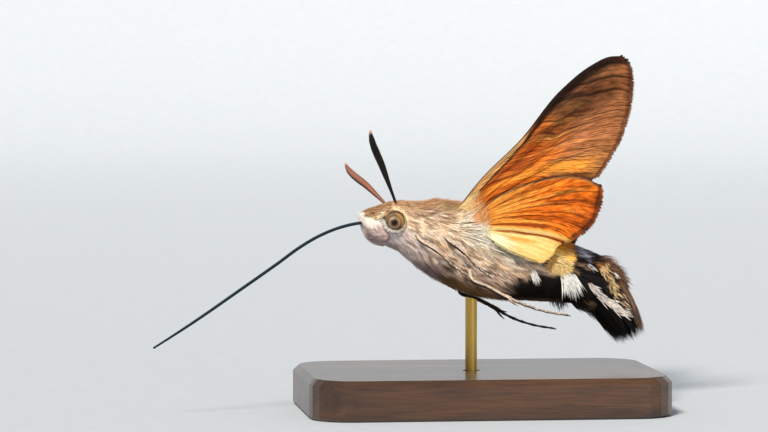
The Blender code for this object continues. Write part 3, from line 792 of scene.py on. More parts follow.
def coat_tree(tuft, finish):
    tree = bpy.data.node_groups.new("coat", "GeometryNodeTree")
    face = tree.interface
    face.new_socket("Skin", in_out="INPUT", socket_type="NodeSocketGeometry")
    face.new_socket("Tufts per square mm", in_out="INPUT", socket_type="NodeSocketFloat")
    face.new_socket("Zone", in_out="INPUT", socket_type="NodeSocketInt")
    face.new_socket("Seed", in_out="INPUT", socket_type="NodeSocketInt")
    face.new_socket("Unruly", in_out="INPUT", socket_type="NodeSocketFloat")
    face.new_socket("Coat", in_out="OUTPUT", socket_type="NodeSocketGeometry")
    given = add(tree, "NodeGroupInput").outputs

    def read(name, kind="FLOAT"):
        node = add(tree, "GeometryNodeInputNamedAttribute", {"Name": name}, data_type=kind)
        return node.outputs["Attribute"]

    def maths(operation, *values):
        return add(tree, "ShaderNodeMath", dict(enumerate(values)), operation=operation).outputs[0]

    def vectors(operation, *values, scale=None):
        node = add(tree, "ShaderNodeVectorMath", dict(enumerate(values)), operation=operation)
        if scale is not None:
            tree.links.new(scale, node.inputs["Scale"])
        return node.outputs["Vector"]

    def chance(low, high, salt):
        seed = maths("ADD", given["Seed"], float(salt))
        node = add(tree, "FunctionNodeRandomValue", {"Seed": seed}, data_type="FLOAT")
        node.inputs[2].default_value = low
        node.inputs[3].default_value = high
        return node.outputs[1]

    same = add(tree, "FunctionNodeCompare", data_type="INT", operation="EQUAL")
    tree.links.new(read("zone", "INT"), same.inputs[2])
    tree.links.new(given["Zone"], same.inputs[3])
    density = maths(
        "MULTIPLY", maths("MULTIPLY", given["Tufts per square mm"], 1.0 / MM**2), read("thick")
    )
    scatter = add(
        tree,
        "GeometryNodeDistributePointsOnFaces",
        {
            "Mesh": given["Skin"], "Selection": same.outputs["Result"], "Density": density,
            "Seed": given["Seed"],
        },
    )
    wild = add(tree, "FunctionNodeRandomValue", {"Seed": given["Seed"]}, data_type="FLOAT_VECTOR")
    wild.inputs[0].default_value = (-1, -1, -1)
    wild.inputs[1].default_value = (1, 1, 1)
    normal = add(tree, "GeometryNodeCaptureAttribute", {"Geometry": scatter.outputs["Points"]})
    normal.capture_items.new("VECTOR", "Normal")
    tree.links.new(scatter.outputs["Normal"], normal.inputs["Normal"])
    raised = vectors("SCALE", normal.outputs["Normal"], scale=read("stand"))
    astray = vectors("SCALE", wild.outputs[0], scale=given["Unruly"])
    heading = vectors("ADD", vectors("ADD", read("lie", "FLOAT_VECTOR"), raised), astray)
    pointed = add(tree, "FunctionNodeAlignRotationToVector", {"Vector": heading}, axis="Z")
    rolled = add(
        tree,
        "FunctionNodeAlignRotationToVector",
        {"Rotation": pointed.outputs[0], "Vector": normal.outputs["Normal"]},
        axis="Y",
        pivot_axis="Z",
    )
    length = maths("MULTIPLY", maths("DIVIDE", read("hair"), MM), chance(0.7, 1.25, 1))
    width = maths("MULTIPLY", maths("DIVIDE", read("girth"), MM), chance(0.7, 1.3, 2))
    size = add(tree, "ShaderNodeCombineXYZ", {"X": width, "Y": width, "Z": length}).outputs[0]
    shaded = add(
        tree,
        "GeometryNodeStoreNamedAttribute",
        {"Geometry": normal.outputs["Geometry"], "Name": "shade"},
        data_type="FLOAT",
        domain="POINT",
    )
    tree.links.new(chance(0.0, 1.0, 3), shaded.inputs["Value"])
    facing = add(
        tree,
        "GeometryNodeStoreNamedAttribute",
        {"Geometry": shaded.outputs["Geometry"], "Name": "skin_way"},
        data_type="FLOAT_VECTOR",
        domain="POINT",
    )
    tree.links.new(normal.outputs["Normal"], facing.inputs["Value"])
    model = add(tree, "GeometryNodeObjectInfo", {"Object": tuft})
    planted = add(
        tree,
        "GeometryNodeInstanceOnPoints",
        {
            "Points": facing.outputs["Geometry"],
            "Instance": model.outputs["Geometry"],
            "Rotation": rolled.outputs[0],
            "Scale": size,
        },
    )
    solid = add(tree, "GeometryNodeRealizeInstances", {"Geometry": planted.outputs["Instances"]})
    local = vectors("SUBTRACT", read("tuft_map", "FLOAT_VECTOR"), (0.5, 0.5, 0.0))
    small = add(
        tree, "ShaderNodeVectorMath", {0: local, "Scale": PATCH}, operation="SCALE"
    ).outputs["Vector"]
    mapped = add(
        tree,
        "GeometryNodeStoreNamedAttribute",
        {"Geometry": solid.outputs["Geometry"], "Name": "OFBake"},
        data_type="FLOAT2",
        domain="CORNER",
    )
    tree.links.new(vectors("ADD", read("root_map", "FLOAT_VECTOR"), small), mapped.inputs["Value"])
    painted = add(
        tree, "GeometryNodeSetMaterial", {"Geometry": mapped.outputs["Geometry"], "Material": finish}
    )
    tree.links.new(painted.outputs["Geometry"], add(tree, "NodeGroupOutput").inputs["Coat"])
    return tree

# %% The coat's finish


def coat_finish(name, sheen):
    """Hair-like scales: one tint each, darker at the root and paler at the tip, no two quite alike."""
    finish, tree, shader = new_finish(
        name, Roughness=0.6, Specular_IOR_Level=0.15, Sheen_Weight=sheen, Sheen_Roughness=0.4
    )
    out_along = add(
        tree, "ShaderNodeSeparateXYZ", {0: add(tree, "ShaderNodeUVMap", uv_map="tuft_map").outputs["UV"]}
    )
    grow = add(
        tree, "ShaderNodeMapRange", {"Value": out_along.outputs["Y"], "To Min": 0.70, "To Max": 1.45}
    )
    luck = add(
        tree, "ShaderNodeMapRange",
        {"Value": attribute(tree, "shade").outputs["Fac"], "To Min": 0.50, "To Max": 1.50},
    )
    both = add(tree, "ShaderNodeMath", {0: grow.outputs[0], 1: luck.outputs[0]}, operation="MULTIPLY")
    colour = times(tree, attribute(tree, "coat").outputs["Color"], both.outputs[0])
    tree.links.new(colour.outputs[2], shader.inputs["Base Color"])
    return finish

# %% Planting the coat


def plant(name, tree, tufts, zone, seed, unruly, slot):
    """Runs the coat's tree over one zone of the skin and keeps the result as a plain mesh."""
    carrier = bpy.data.objects.new(name, skin.data)
    bpy.context.scene.collection.objects.link(carrier)
    planter = carrier.modifiers.new("coat", "NODES")
    planter.node_group = tree
    values = {"Tufts per square mm": tufts, "Zone": zone, "Seed": seed, "Unruly": unruly}
    for item in tree.interface.items_tree:
        if item.in_out == "INPUT" and item.name in values:
            planter[item.identifier] = values[item.name]
    graph = bpy.context.evaluated_depsgraph_get()
    mesh = bpy.data.meshes.new_from_object(carrier.evaluated_get(graph), depsgraph=graph)
    mesh.name = name
    ways = np.empty(3 * len(mesh.vertices))
    mesh.attributes["skin_way"].data.foreach_get("vector", ways)
    soften(mesh, ways.reshape(-1, 3), 0.8)
    mesh.attributes.remove(mesh.attributes["skin_way"])
    bpy.data.objects.remove(carrier)
    grown = bpy.data.objects.new(name, mesh)
    bpy.context.scene.collection.objects.link(grown)
    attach(grown, "root")
    print(name, sum(len(p.vertices) - 2 for p in mesh.polygons), "triangles")
    return grown


ZONE_STARTS = (-4.9, -2.0, 0.6, 3.2, 5.9, 9.0, 13.2)
zones = np.searchsorted(ZONE_STARTS, np.array([skin_data["s"][face[0]] for face in skin_data["faces"]]))
skin.data.attributes.new("zone", "INT", "FACE").data.foreach_set("value", zones.astype(np.int32))
tuft = tuft_object()
fur = coat_tree(tuft, coat_finish("moth fur", 0.05))  # dry keratin-like scales, soft at grazing angles
ZONES = (
    ("coat_head", 240.0, 0.14, "coat"),
    ("coat_collar", 190.0, 0.17, "coat"),
    ("coat_chest", 170.0, 0.18, "coat"),
    ("coat_thorax", 160.0, 0.18, "coat"),
    ("coat_loin", 150.0, 0.16, "coat"),
    ("coat_waist", 130.0, 0.13, "coat"),
    ("coat_abdomen", 120.0, 0.12, "coat"),
    ("coat_tail", 120.0, 0.14, "tail_coat"),
)
for zone, (name, tufts, unruly, slot) in enumerate(ZONES):
    plant(name, fur, tufts, zone, 11 + zone, unruly, slot)

# %% [markdown]
# ## The wings
#
# A wing's outline is three curves in the wing's own plane: the leading edge, the outer margin and the
# trailing edge. A place on it is `u` from leading to trailing edge and `v` from root to margin, so that
# streaks and veins fan out from the root as they do in life. The finished wing is thinner than its solid,
# with the same outline and a fringe.

# %% The wings' outlines
WING_TILT = math.radians(16.0)
WING_THICK = 0.10
FOREWING = {
    "root": (1.5, 3.3, 2.3),
    "costa": (
        (-2.1, -0.3), (-0.5, 3.4), (2.4, 8.3), (5.0, 14.0), (7.3, 17.1), (8.8, 18.35), (10.0, 18.75)
    ),
    "margin": (
        (10.0, 18.75), (10.9, 18.1), (11.7, 16.4), (12.1, 14.0), (12.0, 11.0), (11.4, 8.6), (10.7, 6.7)
    ),
    "inner": ((0.2, -0.4), (2.6, 2.4), (6.2, 4.9), (10.7, 6.7)),
    "veins": (0.0, 0.055, 0.115, 0.24, 0.37, 0.48, 0.60, 0.72, 0.85, 1.0),
    "slant": ((0.0, 0.0), (0.35, 0.56), (0.6, 0.86), (0.8, 0.96), (1.0, 1.0)),
    "slant_share": ((0.0, 0.80), (0.35, 1.0), (1.0, 0.9)),
    "hairy": 0.05,
}
HINDWING = {
    "root": (1.5, 4.15, 1.2),
    "costa": ((-0.7, 0.3), (1.7, 3.3), (5.2, 5.8), (9.0, 7.05), (11.2, 6.8)),
    "margin": ((11.2, 6.8), (11.55, 5.0), (11.1, 2.6), (9.9, 1.1), (8.5, -0.1), (8.0, -1.5), (7.2, -2.4)),
    "inner": ((0.7, -0.9), (3.6, -1.9), (5.4, -2.2), (7.2, -2.4)),
    "veins": (0.0, 0.13, 0.27, 0.41, 0.54, 0.66, 0.80, 1.0),
    "slant": ((0.0, 0.0), (1.0, -0.26)),
    "slant_share": ((0.0, 1.0), (0.42, 0.0), (0.62, -0.35), (0.70, 0.0), (1.0, 0.0)),
    "hairy": 0.09,
}
FAR_WING_BACK = 0.6  # mm: the far wing hangs back a little, out of the camera's sight behind the near one
WING_GRID = (170, 150)

# %% The wings' surface


def curve_of(points):
    fine = smooth_path(points, 200)
    places = np.linspace(0, 1, len(fine))
    return lambda t: np.stack([np.interp(t, places, fine[:, 0]), np.interp(t, places, fine[:, 1])], -1)


def wing_plane(wing, u, v):
    """The place in the wing's plane for u and v."""
    costa, margin, inner = (curve_of(wing[key]) for key in ("costa", "margin", "inner"))
    u, v = np.broadcast_arrays(np.asarray(u, float), np.asarray(v, float))
    across, out = u[..., None], v[..., None]
    rooted = (1 - across) * costa(0.0) + across * inner(0.0)
    straight = (1 - out) * rooted + out * margin(u)
    lead = costa(v) - (1 - out) * costa(0.0) - out * costa(1.0)
    trail = inner(v) - (1 - out) * inner(0.0) - out * inner(1.0)
    return straight + (1 - across) * lead + across * trail


def wing_place(plane, root, lift, v, side):
    """From the wing's plane to the moth's frame: it leans out, cups a little, and flares round the body."""
    a, b = plane[..., 0], plane[..., 1]
    if side > 0:
        a = a + FAR_WING_BACK * np.sin(math.pi * np.clip(b / 18.0, 0.0, 1.0))
    flare = 0.18 * (np.sqrt((b - 0.4) ** 2 + 0.36) - (b - 0.4))
    cup = 0.0022 * np.maximum(b, 0.0) ** 2
    dive = 1.3 * np.exp(-v * 14.0)
    out = root[1] + b * math.sin(WING_TILT) + flare + cup - dive + lift
    return np.stack(
        [root[0] + a, side * out, root[2] + b * math.cos(WING_TILT) - lift * math.tan(WING_TILT)], -1
    )


def vein_height(wing, u, v):
    """1 on a vein and 0 between them, weaker towards the margin."""
    veins = np.array(wing["veins"])
    nearest = np.abs(u[..., None] - veins).min(-1)
    return np.exp(-((nearest / 0.008) ** 2)) * (1 - 0.5 * v)


def pleat(wing, u, v):
    """The membrane's gentle waves between its veins, in mm."""
    veins = np.array(wing["veins"])
    which = np.clip(np.searchsorted(veins, u) - 1, 0, len(veins) - 2)
    share = (u - veins[which]) / (veins[which + 1] - veins[which])
    return 0.10 * np.sin(math.pi * share) * np.where(
        which % 2 == 0, 1, -1
    ) * ease(v, 0.05, 0.5) * (1 - 0.5 * v)

# %% Streaks of scales


def streak_line(wing, u, v):
    """A number that stays the same along one streak of scales, as the streaks slant across the wing."""
    return u - np.interp(v, *zip(*wing["slant"])) * np.interp(u, *zip(*wing["slant_share"]))


def streaks(wing, u, v, seed):
    """Broad and fine streak fields, from 0 to 1."""
    line = streak_line(wing, u, v)
    broad = speckle(np.stack([line * 15, v * 3.0, u * 0], -1), 1.0, seed)
    fine = speckle(np.stack([line * 40, v * 2.2, u * 0], -1), 1.0, seed + 1)
    return broad, fine


def streakiness(wing, u, v):
    """How strongly the dark streaks show: not at the root, on the tan leading strip or on the pale lobe."""
    if wing is FOREWING:
        return 0.95 * ease(v, 0.06, 0.22) * ease(u, 0.02, 0.12 - 0.08 * v)
    return (0.90 - 0.62 * ease(u, 0.60, 0.66)) * ease(v, 0.08, 0.26)


def band(place, v, outs, places, half, soft):
    """1 in a band about a curved centre line, which is given by its places at some shares of the way out."""
    return inside(place - np.interp(v, outs, places), -half, half, soft)

# %% The wings' colours


def forewing_tint(u, v):
    """Tan leading edge, rust within, a golden band, and brown streaks that gather towards the tip."""
    broad, fine = streaks(FOREWING, u, v, 31)
    reach = v + 0.10 * (broad - 0.5)
    wavy = u + 0.03 * (fine - 0.5)
    colours = np.broadcast_to(tone("d86f1d"), u.shape + (3,)).copy()
    colours = layered(
        colours,
        ("9a3b0c", 0.85 * inside(wavy, 0.17, 0.52, 0.16) * inside(v, 0.12, 0.50, 0.14)),
        ("b07048", 0.9 * ease(reach, 0.50, 0.76)),
        ("cc8848", 0.7 * ease(u, 0.62, 0.80) * ease(reach, 0.48, 0.70)),
        ("4a2e1a", 0.92 * ease(u + 0.1 * (v - 0.7), 0.56, 0.24) * ease(reach, 0.42, 0.62)),
        ("9a6038", 0.6 * ease(reach, 0.80, 0.98)),
        (
            "4a2412",
            0.65 * band(wavy, v, (0.42, 0.56, 0.70, 0.9), (0.10, 0.22, 0.30, 0.33), 0.045, 0.05)
            * inside(v, 0.40, 0.86, 0.14),
        ),
        (
            "ee9432",
            0.9 * band(wavy, v, (0.2, 0.31, 0.5, 0.7, 0.87), (0.42, 0.54, 0.73, 0.83, 0.88), 0.07, 0.07)
            * inside(v, 0.10, 0.90, 0.2),
        ),
        (
            "5b3114",
            0.85
            * band(wavy, v, (0.06, 0.25, 0.44, 0.62, 0.9), (0.57, 0.77, 0.89, 0.94, 0.98), 0.035, 0.05)
            * inside(v, 0.06, 0.95, 0.12),
        ),
        ("5b2a10", 0.30 * ease(fine, 0.52, 0.78) * ease(v, 0.10, 0.30)),
        (
            "f0a44c",
            0.25 * ease(fine, 0.45, 0.20) * ease(v, 0.06, 0.2) * ease(u, 0.05, 0.3) * ease(v, 0.95, 0.6),
        ),
    )
    strip = np.interp(v, (0.0, 0.08, 0.20, 0.31, 0.41, 0.50), (0.19, 0.19, 0.15, 0.10, 0.055, 0.020))
    colours = layered(
        colours,
        ("3f2914", 0.9 * inside(wavy, strip, strip + 0.05, 0.03) * inside(v, 0.04, 0.55, 0.1)),
        ("d9a566", inside(u, 0.010, strip, 0.014) * ease(v, 0.50, 0.40)),
        ("7d5228", 0.8 * inside(u + 0.006 * broad, 0.030, 0.046, 0.010) * inside(v, 0.04, 0.42, 0.1)),
        ("1c0f08", 0.95 * ease(u, 0.105, 0.045) * ease(v, 0.42, 0.54)),
        ("2a1a12", ease(u, 0.018, 0.008) * ease(v, 0.02, 0.1)),
        ("4c2614", 0.8 * ease(v, 0.975, 0.995)),
    )
    return wash(colours, "f3d49a", ease(v + 0.05 * fine, 0.10, 0.03))


def hindwing_tint(u, v):
    """Orange with rust streaks, a dark fold, and behind it the pale yellow lobe beside the body."""
    broad, fine = streaks(HINDWING, u, v, 41)
    reach = v + 0.12 * (broad - 0.5)
    wavy = u + 0.02 * (fine - 0.5)
    colours = np.broadcast_to(tone("de8a34"), u.shape + (3,)).copy()
    colours = layered(
        colours,
        ("de6d16", ease(reach, 0.22, 0.58)),
        ("cf5a14", 0.5 * inside(wavy, 0.12, 0.50, 0.2) * ease(reach, 0.40, 0.75)),
        ("712a08", 0.5 * ease(fine, 0.54, 0.78) * ease(v, 0.12, 0.36)),
        ("fbb04c", 0.40 * ease(fine, 0.42, 0.20) * ease(v, 0.06, 0.3) * ease(v, 1.0, 0.7)),
        ("7a2b06", 0.85 * inside(wavy, 0.555, 0.590, 0.025) * inside(v, 0.16, 0.72, 0.18)),
        ("efaa4c", ease(wavy, 0.590, 0.625)),
        ("f8d488", ease(wavy, 0.62, 0.66) * ease(v, 1.05, 0.75)),
    )
    behind = ease(u, 0.72, 0.75)
    colours = layered(
        colours,
        ("f6d488", behind),
        ("fcefc4", 0.85 * behind * ease(reach, 0.66, 0.30) * ease(u, 0.76, 0.86)),
        ("e89c3e", 0.8 * inside(u + 0.03 * broad, 0.80, 0.86, 0.04) * inside(v, 0.42, 0.76, 0.18)),
        ("f3c268", 0.6 * behind * ease(reach, 0.74, 1.0)),
        ("d8963c", 0.35 * behind * ease(fine, 0.50, 0.72) * ease(v, 0.25, 0.5)),
    )
    fold = (0.12, 0.20, 0.45, 0.60, 1.0), (0.752, 0.742, 0.716, 0.720, 0.692)
    colours = layered(
        colours,
        ("a05c18", 0.95 * band(wavy, v, *fold, 0.022, 0.022) * ease(v, 0.10, 0.30)),
        ("7a2a05", 0.9 * band(wavy, v, *fold, 0.012, 0.018) * ease(v, 0.30, 0.60)),
        ("8a6038", 0.9 * ease(u + 0.01 * fine, 0.045, 0.020) * ease(v, 0.04, 0.14)),
        ("54361f", 0.6 * ease(u, 0.020, 0.008) * ease(v, 0.3, 0.5)),
        ("7c3510", 0.5 * ease(reach, 0.88, 0.99) * ease(u, 0.60, 0.52)),
        ("3a1a0a", 0.8 * ease(v + 0.02 * fine, 0.970, 0.995) * ease(u, 0.66, 0.58)),
    )
    return wash(
        colours, "fdf1d6", ease(v + 0.06 * fine, 0.20, 0.06) * (0.15 + 0.85 * ease(u, 0.35, 0.60))
    )

# %% The wings' finish


def wing_finish(name):
    """Scaled membrane: its own tint under long streaks of darker scales, with a fine low relief."""
    finish, tree, shader = new_finish(name, Roughness=0.6, Specular_IOR_Level=0.10)
    place = add(tree, "ShaderNodeUVMap", uv_map="wing_map").outputs["UV"]

    def field(kind, across, out, value, low, high, dark, light):
        """A pattern stretched along the streaks, as a factor from dark to light."""
        scaled = add(tree, "ShaderNodeMapping", {"Vector": place, "Scale": (across, out, 1.0)})
        made = add(tree, kind, {"Vector": scaled.outputs[0], "Scale": 1.0})
        settings = {
            "Value": made.outputs[value], "From Min": low, "From Max": high, "To Min": dark,
            "To Max": light,
        }
        return made.outputs[value], add(tree, "ShaderNodeMapRange", settings).outputs[0]

    _, long_streaks = field("ShaderNodeTexNoise", 66.0, 2.2, "Fac", 0.38, 0.50, 0.32, 1.18)
    fine_noise, fine_streaks = field("ShaderNodeTexNoise", 95.0, 15.0, "Fac", 0.34, 0.62, 0.50, 1.36)
    grain, specks = field("ShaderNodeTexVoronoi", 110.0, 190.0, "Distance", 0.0, 1.0, 1.14, 0.78)
    both = add(
        tree, "ShaderNodeMath", {0: long_streaks, 1: fine_streaks}, operation="MULTIPLY"
    ).outputs[0]
    strength = attribute(tree, "streaky").outputs["Fac"]
    plain = add(tree, "ShaderNodeMix", {0: strength, 2: 1.0, 3: both}).outputs[0]
    shade = add(tree, "ShaderNodeMath", {0: plain, 1: specks}, operation="MULTIPLY").outputs[0]
    colour = times(tree, attribute(tree, "tint").outputs["Color"], shade)
    tree.links.new(colour.outputs[2], shader.inputs["Base Color"])
    relief = add(tree, "ShaderNodeMath", {0: fine_noise, 1: grain}, operation="SUBTRACT")
    bump = add(
        tree, "ShaderNodeBump", {"Height": relief.outputs[0], "Strength": 0.5, "Distance": 0.00004}
    )
    tree.links.new(bump.outputs["Normal"], shader.inputs["Normal"])
    return finish

# %% A wing's plate


def wing_piece(name, side, wing, tint_of, finish, slot):
    """A closed thin plate with raised veins and pleats, alike on both faces."""
    columns, rows = WING_GRID
    v, u = np.meshgrid(np.linspace(0, 1, rows) ** 0.9, np.linspace(0, 1, columns), indexing="ij")
    plane = wing_plane(wing, u, v)
    ragged = 0.10 * (speckle(np.stack([u * 90, v * 0, v * 0], -1), 1.0, 51) - 0.5) * ease(v, 0.9, 1.0)
    plane = plane + ragged[..., None] * np.array([1.0, 0.2])
    ridge = 0.07 * vein_height(wing, u, v)
    half = (WING_THICK / 2 + ridge) * (1 - 0.6 * ease(v, 0.9, 1.0))
    wave = pleat(wing, u, v)
    faces_out = [wing_place(plane, wing["root"], wave + face * half, v, side) for face in (1, -1)]
    points = np.concatenate([faces_out[0].reshape(-1, 3), faces_out[1].reshape(-1, 3)])
    quads = grid_faces(rows, columns)
    total = rows * columns
    rim = list(range(columns))
    rim += [j * columns + columns - 1 for j in range(1, rows)]
    rim += [(rows - 1) * columns + i for i in range(columns - 2, -1, -1)]
    rim += [j * columns for j in range(rows - 2, 0, -1)]
    edge = np.array([(a, b, b + total, a + total) for a, b in zip(rim, rim[1:] + rim[:1])])
    faces = np.concatenate([quads, quads[:, ::-1] + total, edge])
    if side < 0:
        faces = faces[:, ::-1]
    tint = tint_of(u, v).reshape(-1, 3)
    flat = np.stack([streak_line(wing, u, v) + 1.0, v], -1).reshape(-1, 2)
    return piece(
        name,
        points,
        faces,
        finish,
        slot,
        {"tint": np.concatenate([tint, tint]), "streaky": np.tile(streakiness(wing, u, v).ravel(), 2)},
        {"wing_map": np.concatenate([flat, flat])[faces.ravel()]},
    )


# %% [markdown]
# ## Locks: long scales where they stand out
#
# Fringes, tufts and the tail brush are made of locks, each one a thin tapered blade that bends over its
# length. Many locks are worked out at once as arrays and joined in one mesh. Each has its own patch of
# the `OFBake` map.

# %% Locks


def locks(
    name, roots, tips, facing, widths, tints, tip_tints, places, finish, slot, thick=0.35, bow=0.10,
    steps=5,
):
    """One mesh of many locks. places are their roots' places on the map, bow is how far they arch."""
    roots, tips, facing = (np.asarray(v, float) for v in (roots, tips, facing))
    count = len(roots)
    ahead = tips - roots
    length = np.linalg.norm(ahead, axis=1)
    across = unit(np.cross(ahead, facing))
    normal = unit(np.cross(across, ahead))
    shares = np.linspace(0, 1, steps + 1)
    profile = (0.62 + 0.50 * np.sin(math.pi * np.minimum(shares * 1.15, 1.0))) * (1 - shares**3)
    points, colours, local = [], [], []
    for share, girth in zip(shares[:-1], profile[:-1]):
        middle = roots + ahead * share + normal * (bow * length * math.sin(math.pi * share))[:, None]
        for turn in (90, 210, 330):
            swing = math.radians(turn)
            half = np.broadcast_to(widths, count) / 2 * girth
            points.append(
                middle
                + across * (half * math.cos(swing))[:, None]
                + normal * (half * thick * math.sin(swing))[:, None]
            )
            colours.append(tints * (1 - share) * (0.75 + 0.25 * share) + tip_tints * share)
            local.append(np.full((count, 2), (0.5 + 0.45 * math.cos(swing), share)))
    points.append(tips)
    colours.append(tip_tints)
    local.append(np.full((count, 2), (0.5, 1.0)))
    each = 3 * steps + 1
    points, colours, local = (
        np.stack(group, 1).reshape(count * each, -1) for group in (points, colours, local)
    )
    pattern = []
    for ring in range(steps - 1):
        for k in range(3):
            low, after = 3 * ring + k, 3 * ring + (k + 1) % 3
            pattern += [(after, low, low + 3), (after, low + 3, after + 3)]
    pattern += [(3 * (steps - 1) + (k + 1) % 3, 3 * (steps - 1) + k, each - 1) for k in range(3)]
    pattern.append((0, 1, 2))
    faces = (np.array(pattern)[None] + each * np.arange(count)[:, None, None]).reshape(-1, 3)
    owner = np.repeat(np.asarray(places, float), each, axis=0)
    maps = (owner + (local - 0.5) * PATCH)[faces.ravel()]
    made = piece(name, points, faces, finish, slot, {"tint": colours}, {"OFBake": maps})
    soften(made.data, np.repeat(facing @ TURN.T, each, axis=0), 0.65)
    return made

# %% The locks' finish


def lock_finish(name):
    """Long scales: their own tint with a fine streak along each, a soft gloss, and a little sheen."""
    finish, tree, shader = new_finish(name, Roughness=0.6, Specular_IOR_Level=0.2, Sheen_Weight=0.05)
    place = add(tree, "ShaderNodeTexCoord").outputs["Object"]
    grain = add(tree, "ShaderNodeTexNoise", {"Vector": place, "Scale": 5200.0, "Detail": 2.0})
    shade = add(
        tree, "ShaderNodeMapRange",
        {"Value": grain.outputs["Fac"], "From Min": 0.3, "From Max": 0.7, "To Min": 0.75, "To Max": 1.2},
    )
    colour = times(tree, attribute(tree, "tint").outputs["Color"], shade.outputs[0])
    tree.links.new(colour.outputs[2], shader.inputs["Base Color"])
    return finish


dice = np.random.default_rng(7)
lock_look = lock_finish("long scales")

# %% Wing fringes, and all four wings


def wing_fringe(name, side, wing, tint_of, slot):
    """Short scales round the margin and trailing edge, and longer ones over the root on both faces."""
    runs = [(np.linspace(0, 1, 330), None, 0.34, 0.17), (None, np.linspace(0.25, 1, 150), 0.30, 0.15)]
    roots, tips, facing, widths, tints, tip_tints, places = [], [], [], [], [], [], []
    outward = np.array([0.0, side * math.cos(WING_TILT), -math.sin(WING_TILT)])
    for across, out, reach, width in runs:
        u = across if across is not None else np.ones_like(out)
        v = out if out is not None else np.ones_like(across)
        here = wing_plane(wing, u, v * 0.997)
        tangent = unit(np.gradient(here, axis=0))
        away = np.stack([-tangent[:, 1], tangent[:, 0]], -1)
        middle = wing_plane(wing, 0.5, 0.6)
        away = np.where(((here - middle) * away).sum(-1, keepdims=True) < 0, -away, away)
        pale = ease(u, 0.68, 0.75) * ease(v, 0.9, 1.0) * (wing is HINDWING)
        length = (
            reach * dice.uniform(0.6, 1.25, len(u)) * (1 - 0.45 * pale) * (1 - 0.5 * ease(u, 0.06, 0.0))
        )
        start = wing_place(here - away * 0.12, wing["root"], 0.0, v, side)
        end = wing_place(
            here + away * length[:, None] + tangent * dice.normal(0, 0.05, (len(u), 1)), wing["root"],
            0.0, v, side,
        )
        own = tint_of(u, v * 0.97)
        roots.append(start)
        tips.append(end)
        facing.append(np.broadcast_to(outward, start.shape))
        widths.append(np.full(len(u), width))
        shade = (0.55 + 0.40 * pale)[:, None]
        tints.append(own * shade)
        tip_tints.append(own * shade * dice.uniform(0.55, 1.35, (len(u), 1)))
        places.append(np.stack([0.05 + 0.9 * u, 0.05 + 0.9 * v], -1))
    count = 700
    for face in (1, -1):
        u = dice.uniform(0.03, 0.97, count)
        v = 0.02 + wing["hairy"] * dice.uniform(0, 1, count) ** 1.4
        step = dice.uniform(0.04, 0.09, count)
        beyond = np.clip(
            u - streak_line(wing, u, v) + streak_line(wing, u, v + step) + dice.normal(0, 0.012, count),
            0.02, 0.98,
        )
        start, end = wing_plane(wing, u, v), wing_plane(wing, 2 * u - beyond, v + step)
        roots.append(wing_place(start, wing["root"], face * 0.03, v, side))
        tips.append(wing_place(end, wing["root"], face * 0.16, v + step, side))
        facing.append(np.broadcast_to(outward * face, (count, 3)))
        widths.append(np.full(count, 0.07))
        tints.append(tint_of(u, v))
        tip_tints.append(tint_of(u, v) * dice.uniform(0.75, 1.15, (count, 1)))
        places.append(np.stack([0.05 + 0.9 * u, 0.05 + 0.9 * v], -1))
    parts = (np.concatenate(group) for group in (roots, tips, facing, widths, tints, tip_tints, places))
    return locks(name, *parts, lock_look, slot, thick=0.3, bow=0.03, steps=3)


fore_look = wing_finish("forewing scales")
hind_look = wing_finish("hindwing scales")
for side, word in ((-1, "left"), (1, "right")):
    for label, wing, tint_of, look in (
        ("forewing", FOREWING, forewing_tint, fore_look),
        ("hindwing", HINDWING, hindwing_tint, hind_look),
    ):
        plate = wing_piece(label + "_scaled_" + word, side, wing, tint_of, look, label)
        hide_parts(label + "_" + word)
        wing_fringe(label + "_fringe_" + word, side, wing, tint_of, label)
print("four wings, each a grid of", WING_GRID[0], "by", WING_GRID[1])

# %% [markdown]
# ## Tail brush and flank tufts
#
# The brush is the moth's rudder: long flat scales in three tiers, black below and speckled brown above.
# White and tan streaks lie along its sides, and tufts stand out of the flanks behind the wings. The brush
# and the tufts start under the coat's surface, and the streaks lie on it.

# %% Flank tufts


def scatter(low, high, count):
    return dice.uniform(low, high, count)


def flank(name, count, s, angle, length, width, turn, stand, code, tip_code, steps=5):
    """Locks rooted in one patch of both flanks. s, angle, length and width are low and high ends."""
    for side, word in ((1, "left"), (-1, "right")):
        at, a, reach, girth = scatter(*s, count), scatter(*angle, count), scatter(
            *length, count
        ), scatter(*width, count)
        back, round_it, outward = body_axes(at, a)
        roots = on_body(at, a, -0.35)
        bend = np.radians(
            turn[0] + (turn[1] - turn[0]) * (a - angle[0]) / (angle[1] - angle[0])
            + dice.normal(0, 5, count)
        )[:, None]
        heading = back * np.cos(bend) + round_it * np.sin(bend)
        tips = roots + heading * reach[:, None] + outward * (0.35 + scatter(*stand, count))[:, None]
        flip = np.array([1.0, side, 1.0])
        own = np.broadcast_to(tone(code), (count, 3)) * scatter(0.8, 1.1, (count, 1))
        end = np.broadcast_to(tone(tip_code), (count, 3)) * scatter(0.85, 1.1, (count, 1))
        place = map_place(at, a if side > 0 else 360 - a)
        locks(
            f"{name}_{word}", roots * flip, tips * flip, outward * flip, girth, own, end, place,
            lock_look, "coat", steps=steps, bow=0.06,
        )


